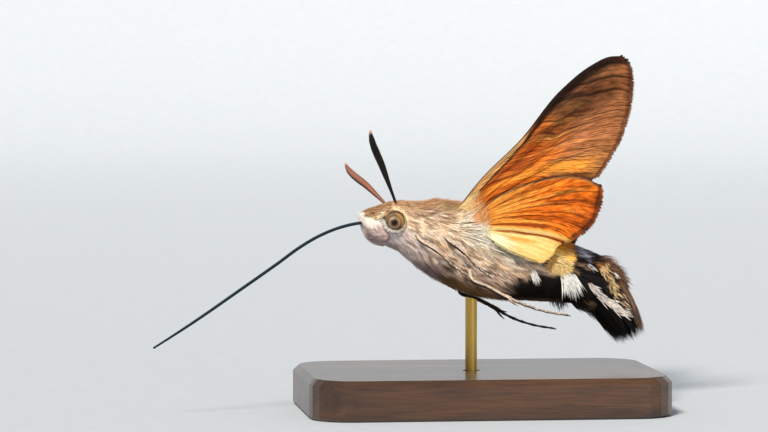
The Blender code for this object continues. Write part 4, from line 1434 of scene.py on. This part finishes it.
TUFTS = (
    # name, count, s, angle, length, width, turn from and to, stand, colours of root and tip
    (
        "wing_root_hair", 420, (-0.2, 5.6), (66, 96), (1.3, 2.6), (0.05, 0.09), (-34, 10), (0.25, 0.60),
        "e9c796", "fffaf0",
    ),
    (
        "tuft_white", 150, (11.1, 12.4), (101, 112), (1.4, 2.7), (0.08, 0.16), (52, 70), (0.35, 0.85),
        "fbf6ef", "fffdf8",
    ),
    (
        "tuft_small", 34, (8.05, 8.5), (110, 116), (0.9, 1.7), (0.08, 0.14), (48, 62), (0.2, 0.5),
        "f3ebe0", "fffaf2",
    ),
    (
        "tuft_amber", 230, (9.6, 11.1), (82, 104), (0.8, 1.4), (0.08, 0.14), (18, 46), (0.1, 0.4),
        "ffb24a", "ffe2a0",
    ),
    (
        "tuft_dark", 170, (12.6, 14.6), (100, 135), (1.4, 2.6), (0.10, 0.20), (6, 24), (0.1, 0.35),
        "0c0807", "1c1411",
    ),
    (
        "tuft_under", 130, (13.2, 15.2), (148, 176), (1.2, 2.2), (0.10, 0.20), (4, 14), (0.5, 0.9),
        "0c0807", "241710",
    ),
    (
        "tuft_under_pale", 26, (13.6, 15.0), (150, 170), (1.6, 2.3), (0.08, 0.14), (4, 14), (0.5, 0.9),
        "5a3a1c", "f0cf9c",
    ),
    (
        "streak_brown", 170, (14.8, 17.4), (12, 70), (0.9, 1.9), (0.09, 0.18), (0, 10), (0.15, 0.50),
        "20140f", "9a7054",
    ),
)
STREAKS = (
    # name, count, from, to, half width, length, colours of root and tip
    (
        "streak_front", 60, (14.1, -2.95, -1.50), (16.2, -2.85, -2.75), (0.14, 0.36), (0.6, 1.4),
        "bfa79c", "fffaf4",
    ),
    (
        "streak_rear", 105, (16.1, -2.80, -2.60), (18.6, -2.68, -3.45), (0.18, 0.36), (0.6, 1.5),
        "f2ddc4", "fffcf6",
    ),
    (
        "streak_ochre", 150, (15.1, -2.62, 0.75), (17.0, -2.70, -1.55), (0.38, 0.30), (0.5, 1.4),
        "cc9458", "ffe0a8",
    ),
    (
        "streak_cream", 60, (16.7, -2.75, -1.50), (18.4, -2.65, -2.70), (0.30, 0.34), (0.5, 1.4),
        "c08e58", "ffe6bc",
    ),
    (
        "streak_dark", 90, (15.2, -2.80, -0.30), (18.6, -2.75, -2.95), (0.70, 0.55), (0.8, 1.8), "0a0706",
        "2a1c15",
    ),
    (
        "fleck_front", 14, (13.6, -2.98, 0.42), (14.3, -2.98, 0.05), (0.22, 0.22), (0.4, 0.9), "5c5654",
        "f3eeec",
    ),
    (
        "fleck_rear", 9, (16.4, -2.55, 0.30), (16.9, -2.58, -0.05), (0.14, 0.10), (0.4, 0.8), "f0e6da",
        "fffaf4",
    ),
)

# %% Streaks on the tail


def streak(name, count, start, end, half, length, code, tip_code):
    """Locks along a line on both sides of the tail. half is the line's half width at its two ends."""
    start, end = np.array(start), np.array(end)
    ahead = unit(end - start)
    outward = np.array([0.0, -1.0, -0.15])
    across = unit(np.cross(ahead, outward))
    share = scatter(0.0, 0.85, count)
    wide = (half[0] + (half[1] - half[0]) * share) * dice.normal(0, 0.6, count)
    roots = (
        start + share[:, None] * (end - start) + wide[:, None] * across + scatter(-0.12, 0.06, (count, 1))
        * outward
    )
    heading = ahead + dice.normal(0, 0.20, (count, 3)) + 0.12 * outward
    tips = roots + unit(heading) * scatter(*length, (count, 1))
    own = tone(code) * scatter(0.7, 1.2, (count, 1))
    tip = tone(tip_code) * scatter(0.75, 1.15, (count, 1))
    girth = scatter(0.06, 0.14, count)
    for side, word in ((1, "left"), (-1, "right")):
        flip = np.array([1.0, side, 1.0])
        place = map_place(roots[:, 0], 110.0 if side > 0 else 250.0)
        facing = np.broadcast_to(outward, roots.shape) * flip
        locks(
            f"{name}_{word}", roots * flip, tips * flip, facing, girth, own, tip, place, lock_look,
            "tail_coat", steps=4, bow=0.05,
        )


for row in TUFTS:
    flank(*row)
for row in STREAKS:
    streak(*row)

# %% The tail brush


def brush_lock_sets():
    """Roots, tips and colours of the tail brush. share runs from -1 on the left to 1 on the right."""
    sets = []
    tiers = (
        ("upper", 1000, (15.8, 18.2), (21.35, -4.55), 2.7, (-1.3, -0.25), (0.08, 0.20)),
        ("middle", 760, (15.4, 17.8), (20.6, -5.2), 2.6, (-1.0, 0.0), (0.09, 0.22)),
        ("under", 760, (14.8, 17.4), (19.7, -5.65), 2.3, (-0.5, 0.35), (0.09, 0.24)),
    )
    for tier, count, s, tip, spread, curve, girth in tiers:
        share = scatter(-1, 1, count)
        width_share = np.sign(share) * np.abs(share) ** 0.8
        at = scatter(*s, count)
        if tier == "upper":
            angle = 72 * width_share
        elif tier == "middle":
            angle = np.sign(share) * (70 + 40 * np.abs(share))
        else:
            angle = np.sign(share) * (180 - 62 * np.abs(share))
        angle = np.mod(-angle, 360)
        roots = on_body(at, angle, -0.35)
        _, _, outward = body_axes(at, angle)
        reach = scatter(0.45, 1.0, count) ** 0.6
        ends = np.stack(
            [
                tip[0] + curve[0] * share**2 + dice.normal(0, 0.12, count),
                spread * share + dice.normal(0, 0.10, count),
                tip[1] + curve[1] * share**2 + dice.normal(0, 0.12, count),
            ],
            -1,
        )
        ends = roots + (ends - roots) * reach[:, None]
        cloud = speckle(roots, 0.7, 81)
        base = np.broadcast_to(tone("0a0706"), (count, 3)).copy()
        end = np.broadcast_to(tone("100b09"), (count, 3)).copy()
        if tier == "upper":
            speck = scatter(0, 1, count)
            base = wash(base, "4a3226", 0.7 * ease(speck + 0.3 * cloud, 0.35, 0.65))
            end = layered(
                end,
                ("c09468", 0.9 * ease(speck + 0.3 * cloud, 0.60, 0.95) * ease(np.abs(share), 1.0, 0.75)),
                ("7a5a52", 0.6 * ease(speck, 0.5, 0.2)),
            )
        sets.append((tier, roots, ends, outward, scatter(*girth, count), base, end, at, angle))
    return sets


for tier, roots, ends, outward, girth, base, end, at, angle in brush_lock_sets():
    place = map_place(at, angle)
    locks(
        "brush_" + tier, roots, ends, outward, girth, base, end, place, lock_look, "tail_coat", thick=0.3,
        bow=0.05, steps=6,
    )
print("tail brush and tufts in place")

# %% [markdown]
# ## Eyes, feelers and feeding tube
#
# A hawk moth's eye is a smooth bulge of thousands of facets. The dark spot that seems to look back is
# where the facets look straight at the watcher, and in life it moves with them. Here it is painted on the
# mesh, once, where the photo shows it, with its paler ring, so it stays there from any side.

# %% Compound eyes
# the way the painted spot faces: towards where the photo was taken
WATCHER = np.array([-0.131, -0.953, -0.272])
EYE_BALL = 1.10
EYE_SET_BACK = np.array([0.24, 0.02, -0.06])


def eye_finish():
    """Facets under a clear, wet-looking lens: cuticle's index of refraction is about 1.55."""
    finish, tree, shader = new_finish(
        "compound eye", Roughness=0.42, IOR=1.55, Specular_IOR_Level=0.25, Coat_Weight=0.04
    )
    place = add(tree, "ShaderNodeTexCoord").outputs["Object"]
    facets = add(tree, "ShaderNodeTexVoronoi", {"Vector": place, "Scale": 26000.0})
    mottle = add(tree, "ShaderNodeTexNoise", {"Vector": place, "Scale": 3500.0, "Detail": 2.0})
    shade = add(
        tree, "ShaderNodeMapRange", {"Value": mottle.outputs["Fac"], "To Min": 0.75, "To Max": 1.2}
    )
    colour = times(tree, attribute(tree, "tint").outputs["Color"], shade.outputs[0])
    tree.links.new(colour.outputs[2], shader.inputs["Base Color"])
    bump = add(
        tree, "ShaderNodeBump",
        {"Height": facets.outputs["Distance"], "Strength": 0.25, "Distance": 0.00001},
    )
    tree.links.new(bump.outputs["Normal"], shader.inputs["Normal"])
    return finish


def eye(side, word, finish):
    """The ball, painted by how far each place turns from the spot's fixed direction, in degrees."""
    rows, columns = 90, 120
    polar, turn = np.meshgrid(
        np.linspace(0.001, math.pi - 0.001, rows),
        np.linspace(0, 2 * math.pi, columns, endpoint=False),
        indexing="ij",
    )
    spokes = [np.sin(polar) * np.cos(turn), np.cos(polar), np.sin(polar) * np.sin(turn)]
    direction = np.stack(spokes, -1).reshape(-1, 3)
    at = (EYE_AT + EYE_SET_BACK) * np.array([1, side, 1])
    watcher = WATCHER * np.array([1, -side, 1])
    off = np.degrees(np.arccos(np.clip(direction @ watcher, -1, 1)))
    cloud = speckle(direction, 0.18, 61)
    off = off + 3.0 * (cloud - 0.5)
    behind = direction @ unit(np.array([0.75, side * 0.1, 0.55]))
    below = direction @ unit(np.array([-0.15, side * 0.2, -1.0]))
    tint = np.broadcast_to(tone("7d6549"), direction.shape).copy()
    tint = layered(
        tint,
        ("bb8a50", 0.9 * ease(behind + 0.1 * cloud, 0.26, 0.60)),
        ("5c4b3a", 0.9 * ease(below, 0.20, 0.60)),
        ("a58a69", 0.55 * inside(off, 22, 33, 8)),
        ("4c3a2a", 0.6 * inside(off, 35, 44, 8)),
        ("6b3f1f", 0.95 * inside(off, 12, 21, 5)),
        ("020101", ease(off, 16.5, 13.5)),
        ("2b2018", 0.9 * ease(off, 58, 72)),
    )
    faces = grid_faces(rows, columns, wrap=True)
    caps = [list(range(columns))[::-1], list(range((rows - 1) * columns, rows * columns))]
    ball = piece(
        "compound_eye_" + word, at + EYE_BALL * direction, faces.tolist() + caps, finish, "eye",
        {"tint": tint},
    )
    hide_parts("eye_" + word)

# %% The ring of scales round an eye


def eye_rim(side, word):
    """A wreath of small flat scales that hides the edge of the eye."""
    count = 560
    axis = unit(np.array([-0.06, side * 1.0, 0.05]))
    up = unit(np.array([0.0, 0.0, 1.0]) - axis * axis[2])
    ahead = np.cross(axis, up) * side
    turn = dice.uniform(0, 2 * math.pi, count)
    spoke = np.cos(turn)[:, None] * up + np.sin(turn)[:, None] * ahead
    sweep = -np.sin(turn)[:, None] * up + np.cos(turn)[:, None] * ahead
    at = (EYE_AT + EYE_SET_BACK) * np.array([1, side, 1])
    far = dice.uniform(1.10, 1.26, (count, 1))
    roots = at + spoke * far + axis * dice.uniform(0.06, 0.20, (count, 1))
    lean = 0.35 * np.sin(turn)[:, None] + dice.normal(0, 0.12, (count, 1))
    tips = at + spoke * (far - 0.20) + sweep * lean * 0.5 + axis * dice.uniform(0.50, 0.68, (count, 1))
    tips = (
        at + unit(tips - at)
        * np.maximum(np.linalg.norm(tips - at, axis=1, keepdims=True), EYE_BALL + 0.04)
    )
    low = ease(-spoke[:, 2], -0.35, 0.15)
    front = ease(-spoke[:, 0], 0.55, 0.85)
    tint = wash(np.broadcast_to(tone("c99668"), (count, 3)), "fcf1e2", low)
    tint = layered(
        tint,
        ("fdeccb", 0.8 * ease(spoke[:, 0], 0.45, 0.8) * ease(spoke[:, 2], 0.9, 0.6)),
        ("3a291d", 0.9 * front * inside(spoke[:, 2], 0.0, 0.30, 0.12)),
    )
    tint = tint * dice.uniform(0.62, 1.15, (count, 1))
    s = np.full(count, EYE_AT[0]) + spoke[:, 0] * far[:, 0]
    angle = 90 - 30 * spoke[:, 2] * far[:, 0]
    angle = angle if side < 0 else 360 - angle
    place = map_place(s, angle)
    locks(
        "eye_rim_" + word, roots, tips, spoke + axis, np.full(count, 0.07), tint * 0.85, tint, place,
        lock_look, "coat", steps=3,
    )

# %% Forehead hair
FRONS = ((-9.42, 0.28), (-8.95, 0.86), (-8.48, 1.12), (-7.75, 1.56), (-7.10, 2.05), (-6.60, 2.36))
FRONS_HALF = (0.26, 0.60, 0.86, 1.20, 1.55, 1.80)
FRONS_DROP = (0.40, 0.85, 1.15, 1.35, 1.50, 1.60)


def frons():
    """The forehead's hair: it lies forward over the palps and makes the blunt, pointed snout."""
    count = 1100
    share = dice.uniform(0.0, 0.86, count)
    turn = np.radians(dice.uniform(-100, 100, count))

    def at(share, lift):
        x, z = (along_many(values, share) for values in zip(*FRONS))
        half, drop = along_many(FRONS_HALF, share) + lift, along_many(FRONS_DROP, share) + lift
        return np.stack([x - 0.3 * lift, half * np.sin(turn), z - drop * (1 - np.cos(turn)) + lift], -1)

    step = dice.uniform(0.14, 0.22, count)
    roots = at(np.minimum(share + step, 1.0), -0.16)
    tips = at(share, dice.uniform(0.0, 0.10, count)) + dice.normal(0, 0.03, (count, 3))
    outward = unit(np.stack([np.full(count, -0.45), np.sin(turn), np.cos(turn) + 0.2], -1))
    over = over_face_line(tips) + dice.normal(0, 0.03, count)
    tint = wash(np.broadcast_to(tone("cf9f72"), (count, 3)), "8c6446", dice.uniform(0, 1, count) ** 2)
    tint = layered(
        tint,
        ("fbe9c8", 0.9 * inside(over, 0.14, 0.45, 0.15) * ease(share, 0.60, 0.75)),
        ("2c1d15", 0.95 * inside(over, -0.20, 0.12, 0.05)),
        ("f4e9de", ease(over, -0.18, -0.26)),
        ("4a3020", 0.85 * inside(share, -0.2, 0.07, 0.06) * ease(over, 0.3, 0.5)),
    )
    place = map_place(roots[:, 0], np.mod(-np.degrees(turn), 360))
    locks(
        "frons", roots, tips, outward, np.full(count, 0.075), tint * 0.8, tint * 1.1, place, lock_look,
        "coat", steps=3,
    )

# %% Feelers


def scaled_finish(name, rings, roughness):
    """Scaled chitin: its own tint, with fine rings across it. Chitin refracts at about 1.55."""
    finish, tree, shader = new_finish(name, Roughness=roughness, IOR=1.55, Specular_IOR_Level=0.2)
    place = add(tree, "ShaderNodeTexCoord").outputs["Object"]
    grain = add(tree, "ShaderNodeTexNoise", {"Vector": place, "Scale": 7000.0, "Detail": 3.0})
    across = add(
        tree, "ShaderNodeMath", {0: attribute(tree, "reach").outputs["Fac"], 1: rings * 2 * math.pi},
        operation="MULTIPLY",
    )
    wave = add(tree, "ShaderNodeMath", {0: across.outputs[0]}, operation="SINE")
    shade = add(
        tree, "ShaderNodeMapRange",
        {"Value": grain.outputs["Fac"], "From Min": 0.3, "From Max": 0.7, "To Min": 0.72, "To Max": 1.22},
    )
    colour = times(tree, attribute(tree, "tint").outputs["Color"], shade.outputs[0])
    tree.links.new(colour.outputs[2], shader.inputs["Base Color"])
    both = add(tree, "ShaderNodeMath", {0: wave.outputs[0], 1: grain.outputs["Fac"]}, operation="ADD")
    bump = add(tree, "ShaderNodeBump", {"Height": both.outputs[0], "Strength": 0.5, "Distance": 0.00003})
    tree.links.new(bump.outputs["Normal"], shader.inputs["Normal"])
    return finish


def limb(name, path, radii, sides, tint_of, finish, slot, groove=None):
    """A tube tinted by its reach from 0 to 1 and by the direction each point faces."""
    points, faces = tube(path, radii, sides, groove)
    middle = np.concatenate([np.repeat(path, sides, axis=0), path[:1], path[-1:]])
    reach = np.concatenate([np.repeat(np.linspace(0, 1, len(path)), sides), [0, 1]])
    facing = unit(points - middle + 1e-9)
    return piece(
        name, points, faces, finish, slot, {"tint": tint_of(reach, facing, points), "reach": reach}
    )


ANTENNA_BASE = np.array([-6.27, 1.20, 1.85])
ANTENNA_TIP = np.array([-11.0, 6.5, 6.6])


def feeler(side, word, finish):
    """Thin at the base, swelling to a long club, with a small hook. Brown on the inner and upper faces as
    painted light, black on the rest as painted shade.
    """
    away = unit(ANTENNA_TIP - ANTENNA_BASE)
    points = [
        ANTENNA_BASE - 0.5 * away,
        ANTENNA_BASE,
        (ANTENNA_BASE + ANTENNA_TIP) / 2 + np.array([-0.06, 0.02, 0.05]),
        ANTENNA_TIP,
        ANTENNA_TIP + 0.30 * away + np.array([0.02, 0.0, 0.12]),
    ]
    path = smooth_path(np.array(points) * (1, side, 1), 150)
    radii = along((0.14, 0.14, 0.16, 0.22, 0.29, 0.34, 0.37, 0.36, 0.30, 0.10), 150)

    def tint_of(reach, facing, places):
        # painted light: the brown wash on faces that turn inward, up and back; the black elsewhere is
        # painted shade
        inner = ease(facing @ np.array([0.25, -side, 0.35]), -0.15, 0.35)
        tint = wash(np.broadcast_to(tone("120e0d"), facing.shape), "94604a", inner)
        tint = wash(tint, "b39a84", 0.6 * ease(reach, 0.12, 0.02))
        return wash(tint, "c8a488", ease(reach, 0.955, 0.985))

    made = limb("feeler_" + word, path, radii, 20, tint_of, finish, "feeler")
    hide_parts("antenna_" + word)

# %% The feeding tube, and the whole head
PROBOSCIS = (
    ((-7.9, -0.25), (-9.1, -0.62), (-11.1, -1.65), (-12.9, -3.0), (-14.6, -4.7), (-16.2, -6.65))
    + ((-19.3, -10.3), (-23.0, -14.6), (-27.5, -19.5))
)
PROBOSCIS_LENGTH = 25.0
PROBOSCIS_INSIDE = 1.2


def feeding_tube(finish):
    """Two half-tubes zipped together: one round tube with two seams on opposite sides."""
    fine = smooth_path([(x, 0.0, z) for x, z in PROBOSCIS], 600)
    run = np.concatenate([[0.0], np.cumsum(np.linalg.norm(np.diff(fine, axis=0), axis=1))])
    ends = np.linspace(0, PROBOSCIS_INSIDE + PROBOSCIS_LENGTH, 260)
    path = np.column_stack([np.interp(ends, run, fine[:, k]) for k in range(3)])
    radii = 0.16 * along((1.0, 1.0, 1.0, 1.0, 0.98, 0.94, 0.85, 0.62), 260)

    def groove(turns):
        return 1 - 0.16 * np.exp(-((np.abs(np.sin(turns)) / 0.22) ** 2))

    def tint_of(reach, facing, places):
        tint = wash(np.broadcast_to(tone("0c2430"), facing.shape), "2a2620", ease(reach, 0.07, 0.03))
        # painted highlight: the upward faces are washed a paler blue-grey
        return wash(tint, "33424c", 0.4 * ease(facing[:, 2], 0.2, 0.9))

    made = limb("feeding_tube", path, radii, 24, tint_of, finish, "feeler", groove)
    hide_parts("proboscis")


eye_look = eye_finish()
feeler_look = scaled_finish("feeler scales", 58, 0.5)
tube_look = scaled_finish("feeding tube cuticle", 150, 0.45)
for side, word in ((-1, "left"), (1, "right")):
    eye(side, word, eye_look)
    eye_rim(side, word)
    feeler(side, word, feeler_look)
feeding_tube(tube_look)
frons()
print("head dressed")

# %% [markdown]
# ## Legs
#
# The fore and middle legs are folded along the chest, the hind pair trails free. Each is one bent tube
# that narrows to a foot of small joints and ends in two claws, and each hind leg has a pair of spurs at
# its knee. Their stations are the CAD's, and the legs are thinner than the solids.

# %% Leg sizes and colours
LEG_RADIUS = 0.19
LEG_LIFT = 0.60
FREE_LEG = {"hindleg": ((6.0, 2.55, -4.85), (8.2, 2.95, -5.35), (10.5, 3.10, -5.50), (12.8, 3.15, -5.30))}


def leg_tint(reach, facing, places):
    """Pale on the upper and outer faces as painted light, dark on the lower and inner faces as painted
    shade, with pale rings at the joints of the foot.
    """
    # painted light: how far each face turns up and out, pale there; the dark rest is painted shade
    painted_light_side = facing @ unit(np.array([0.0, 0.0, 0.7])) + 0.7 * facing[:, 1] * np.sign(places[:, 1])
    tint = wash(np.broadcast_to(tone("2a1d16"), facing.shape), "dcc4ac", ease(painted_light_side, -0.05, 0.45))
    foot = ease(reach, 0.50, 0.56)
    bands = ease(np.cos(reach * 2 * math.pi * 11), 0.25, 0.65)
    tint = layered(
        tint,
        ("3b291f", 0.55 * foot * (1 - bands)),
        ("d3b99c", 0.55 * foot * bands * ease(painted_light_side, -0.3, 0.3)),
        ("1c1310", 0.6 * ease(speckle(places, 0.12, 71), 0.62, 0.8)),
    )
    return wash(tint, "120d0b", 0.9 * ease(reach, 0.965, 0.985))

# %% A leg


def leg(name, side, stations, free, finish):
    s, angle = stations[0]
    points = [on_body(s - 0.5, angle - 8, -0.9)]
    points += [on_body(s, angle, LEG_LIFT) for s, angle in stations]
    points = [p * (1, -side, 1) for p in points] + [np.array(p) * (1, side, 1) for p in free]
    path = smooth_path(points, 170)
    reach = np.linspace(0, 1, 170)
    foot = ease(reach, 0.48, 0.54)
    joints = 1 + 0.16 * foot * np.cos(reach * 2 * math.pi * 11)
    radii = LEG_RADIUS * (1.12 - 0.30 * reach) * (1 - 0.32 * foot) * joints * ease(reach, 1.03, 0.97)
    radii *= 1 + 0.18 * np.exp(-(((reach - 0.47) / 0.03) ** 2))
    made = limb(name + "_scaled", path, radii, 16, leg_tint, finish, "leg")
    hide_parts(name)
    ahead = unit(np.gradient(path, axis=0))
    knee, end = int(0.47 * 170), 168
    if free:
        for number, turn in enumerate((-0.35, 0.30)):
            tip = path[knee] + np.array([1.25, side * (0.25 + turn), -0.45 - turn])
            spur = smooth_path([path[knee], (path[knee] + tip) / 2 + np.array([0, 0, -0.08]), tip], 24)
            limb(
                f"{name}_spur_{number}", spur, along((0.13, 0.12, 0.09, 0.02), 24), 10, leg_tint, finish,
                "leg",
            )
    for number, turn in enumerate((-1, 1)):
        hook = path[end] + ahead[end] * 0.20 + np.array([0.0, turn * 0.12, -0.02])
        tip = hook + ahead[end] * 0.05 + np.array([0.0, turn * 0.03, -0.12])
        claw = smooth_path([path[end], hook, tip], 14)
        limb(f"{name}_claw_{number}", claw, along((0.05, 0.045, 0.012), 14), 8, leg_tint, finish, "leg")
    if free:
        count = 420
        spots = dice.integers(3, 120, count)
        spread = unit(dice.normal(0, 1, (count, 3)))
        spread = unit(spread - ahead[spots] * (spread * ahead[spots]).sum(1, keepdims=True))
        roots = path[spots] + spread * radii[spots, None] * 0.7
        outer = radii[spots, None] + 0.04
        tips = path[spots] + spread * outer + ahead[spots] * dice.uniform(0.20, 0.34, (count, 1))
        # the scales take the leg's tint, with its painted light and shade
        own = leg_tint(reach[spots], spread, roots)
        at = np.stack([0.05 + 0.9 * reach[spots], dice.uniform(0.05, 0.95, count)], -1)
        locks(
            name + "_scales", roots, tips, spread, np.full(count, 0.08), own, own * 1.3, at, lock_look,
            "leg", steps=2,
        )


leg_look = scaled_finish("leg scales", 40, 0.6)
for name, stations in LEG_STATIONS.items():
    for side, word in ((-1, "left"), (1, "right")):
        leg(f"{name}_{word}", side, stations, FREE_LEG.get(name, ()), leg_look)
print("six legs")

# %% [markdown]
# ## The stand
#
# The stand's CAD solids keep their shape and get the finish of dark varnished walnut and brushed brass.

# %% Walnut and brass


def wood_finish():
    """Dark walnut under satin varnish, which refracts at about 1.5. The grain runs along the base."""
    finish, tree, shader = new_finish(
        "dark walnut", Roughness=0.38, Coat_Weight=0.35, Coat_Roughness=0.18, Coat_IOR=1.5
    )
    place = add(tree, "ShaderNodeTexCoord").outputs["Object"]
    long = add(tree, "ShaderNodeMapping", {"Vector": place, "Scale": (60.0, 900.0, 900.0)})
    warp = add(
        tree, "ShaderNodeTexNoise",
        {"Vector": long.outputs[0], "Scale": 0.35, "Detail": 4.0, "Distortion": 0.6},
    )
    pores = add(tree, "ShaderNodeMapping", {"Vector": place, "Scale": (250.0, 5200.0, 5200.0)})
    dots = add(tree, "ShaderNodeTexNoise", {"Vector": pores.outputs[0], "Scale": 1.0, "Detail": 2.0})
    ramp = add(tree, "ShaderNodeValToRGB", {"Fac": warp.outputs["Fac"]}).color_ramp
    ramp.elements[0].position, ramp.elements[1].position = 0.35, 0.68
    ramp.elements[0].color = (*tone("24150d"), 1)
    ramp.elements[1].color = (*tone("56371f"), 1)
    colour = [n for n in tree.nodes if n.type == "VALTORGB"][0].outputs["Color"]
    shade = add(
        tree, "ShaderNodeMapRange",
        {"Value": dots.outputs["Fac"], "From Min": 0.3, "From Max": 0.6, "To Min": 0.6, "To Max": 1.08},
    )
    mixed = times(tree, colour, shade.outputs[0])
    tree.links.new(mixed.outputs[2], shader.inputs["Base Color"])
    bump = add(
        tree, "ShaderNodeBump", {"Height": dots.outputs["Fac"], "Strength": 0.15, "Distance": 0.00004}
    )
    tree.links.new(bump.outputs["Normal"], shader.inputs["Normal"])
    return finish


def brass_finish():
    """Brushed brass, a little dulled: fine rings round the rod."""
    finish, tree, shader = new_finish("brushed brass", Metallic=1.0, Roughness=0.30)
    shader.inputs["Base Color"].default_value = (*tone("c9a456"), 1)
    place = add(tree, "ShaderNodeTexCoord").outputs["Object"]
    rings = add(tree, "ShaderNodeMapping", {"Vector": place, "Scale": (400.0, 400.0, 26000.0)})
    lines = add(tree, "ShaderNodeTexNoise", {"Vector": rings.outputs[0], "Scale": 1.0, "Detail": 2.0})
    rough = add(
        tree, "ShaderNodeMapRange", {"Value": lines.outputs["Fac"], "To Min": 0.22, "To Max": 0.42}
    )
    tree.links.new(rough.outputs[0], shader.inputs["Roughness"])
    bump = add(
        tree, "ShaderNodeBump", {"Height": lines.outputs["Fac"], "Strength": 0.2, "Distance": 0.00001}
    )
    tree.links.new(bump.outputs["Normal"], shader.inputs["Normal"])
    return finish


for node, finish in (("stand_base", wood_finish()), ("stand_rod", brass_finish())):
    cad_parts[node].material_slots[0].material = finish

# %% [markdown]
# ## The floor
#
# The floor is pale matt card that bends up all round into a low wall, to soften the horizon. It is a
# profile turned about the vertical, so it stands the same way round every side of the moth.

# %% The floor card
FLOOR_FLAT = 620.0
FLOOR_BEND = 250.0
FLOOR_WALL = 520.0
floor_profile = [(r, 0.0) for r in (4.0, 60.0, 200.0, 400.0, FLOOR_FLAT)]
floor_profile += [
    (
        FLOOR_FLAT + FLOOR_BEND * math.sin(t), FLOOR_BEND * (1 - math.cos(t))
    ) for t in np.linspace(0.15, math.pi / 2, 12)
]
floor_profile.append((FLOOR_FLAT + FLOOR_BEND, FLOOR_WALL))
FLOOR_SIDES = 96
floor_turns = np.linspace(0, 2 * math.pi, FLOOR_SIDES, endpoint=False)
floor_points = [
    (r * math.cos(t) * MM, r * math.sin(t) * MM, z * MM) for r, z in floor_profile for t in floor_turns
]
floor_mesh = bpy.data.meshes.new("floor")
floor_faces = (
    grid_faces(len(floor_profile), FLOOR_SIDES, wrap=True)[:, ::-1].tolist() + [list(range(FLOOR_SIDES))]
)
floor_mesh.from_pydata(floor_points, [], floor_faces)
floor_mesh.shade_smooth()
floor_look, floor_tree, floor_shader = new_finish("pale matt card", Roughness=0.9, Specular_IOR_Level=0.2)
floor_grain = add(
    floor_tree,
    "ShaderNodeTexNoise",
    {"Vector": add(floor_tree, "ShaderNodeTexCoord").outputs["Object"], "Scale": 400.0, "Detail": 3.0},
)
floor_mix = add(
    floor_tree,
    "ShaderNodeMix",
    {0: floor_grain.outputs["Fac"], 6: (*tone("c3c9cf"), 1), 7: (*tone("cbd0d5"), 1)},
    data_type="RGBA",
)
floor_tree.links.new(floor_mix.outputs[2], floor_shader.inputs["Base Color"])
floor_mesh.materials.append(floor_look)
floor = bpy.data.objects.new("floor", floor_mesh)
bpy.context.scene.collection.objects.link(floor)
print("stand finished, floor laid")
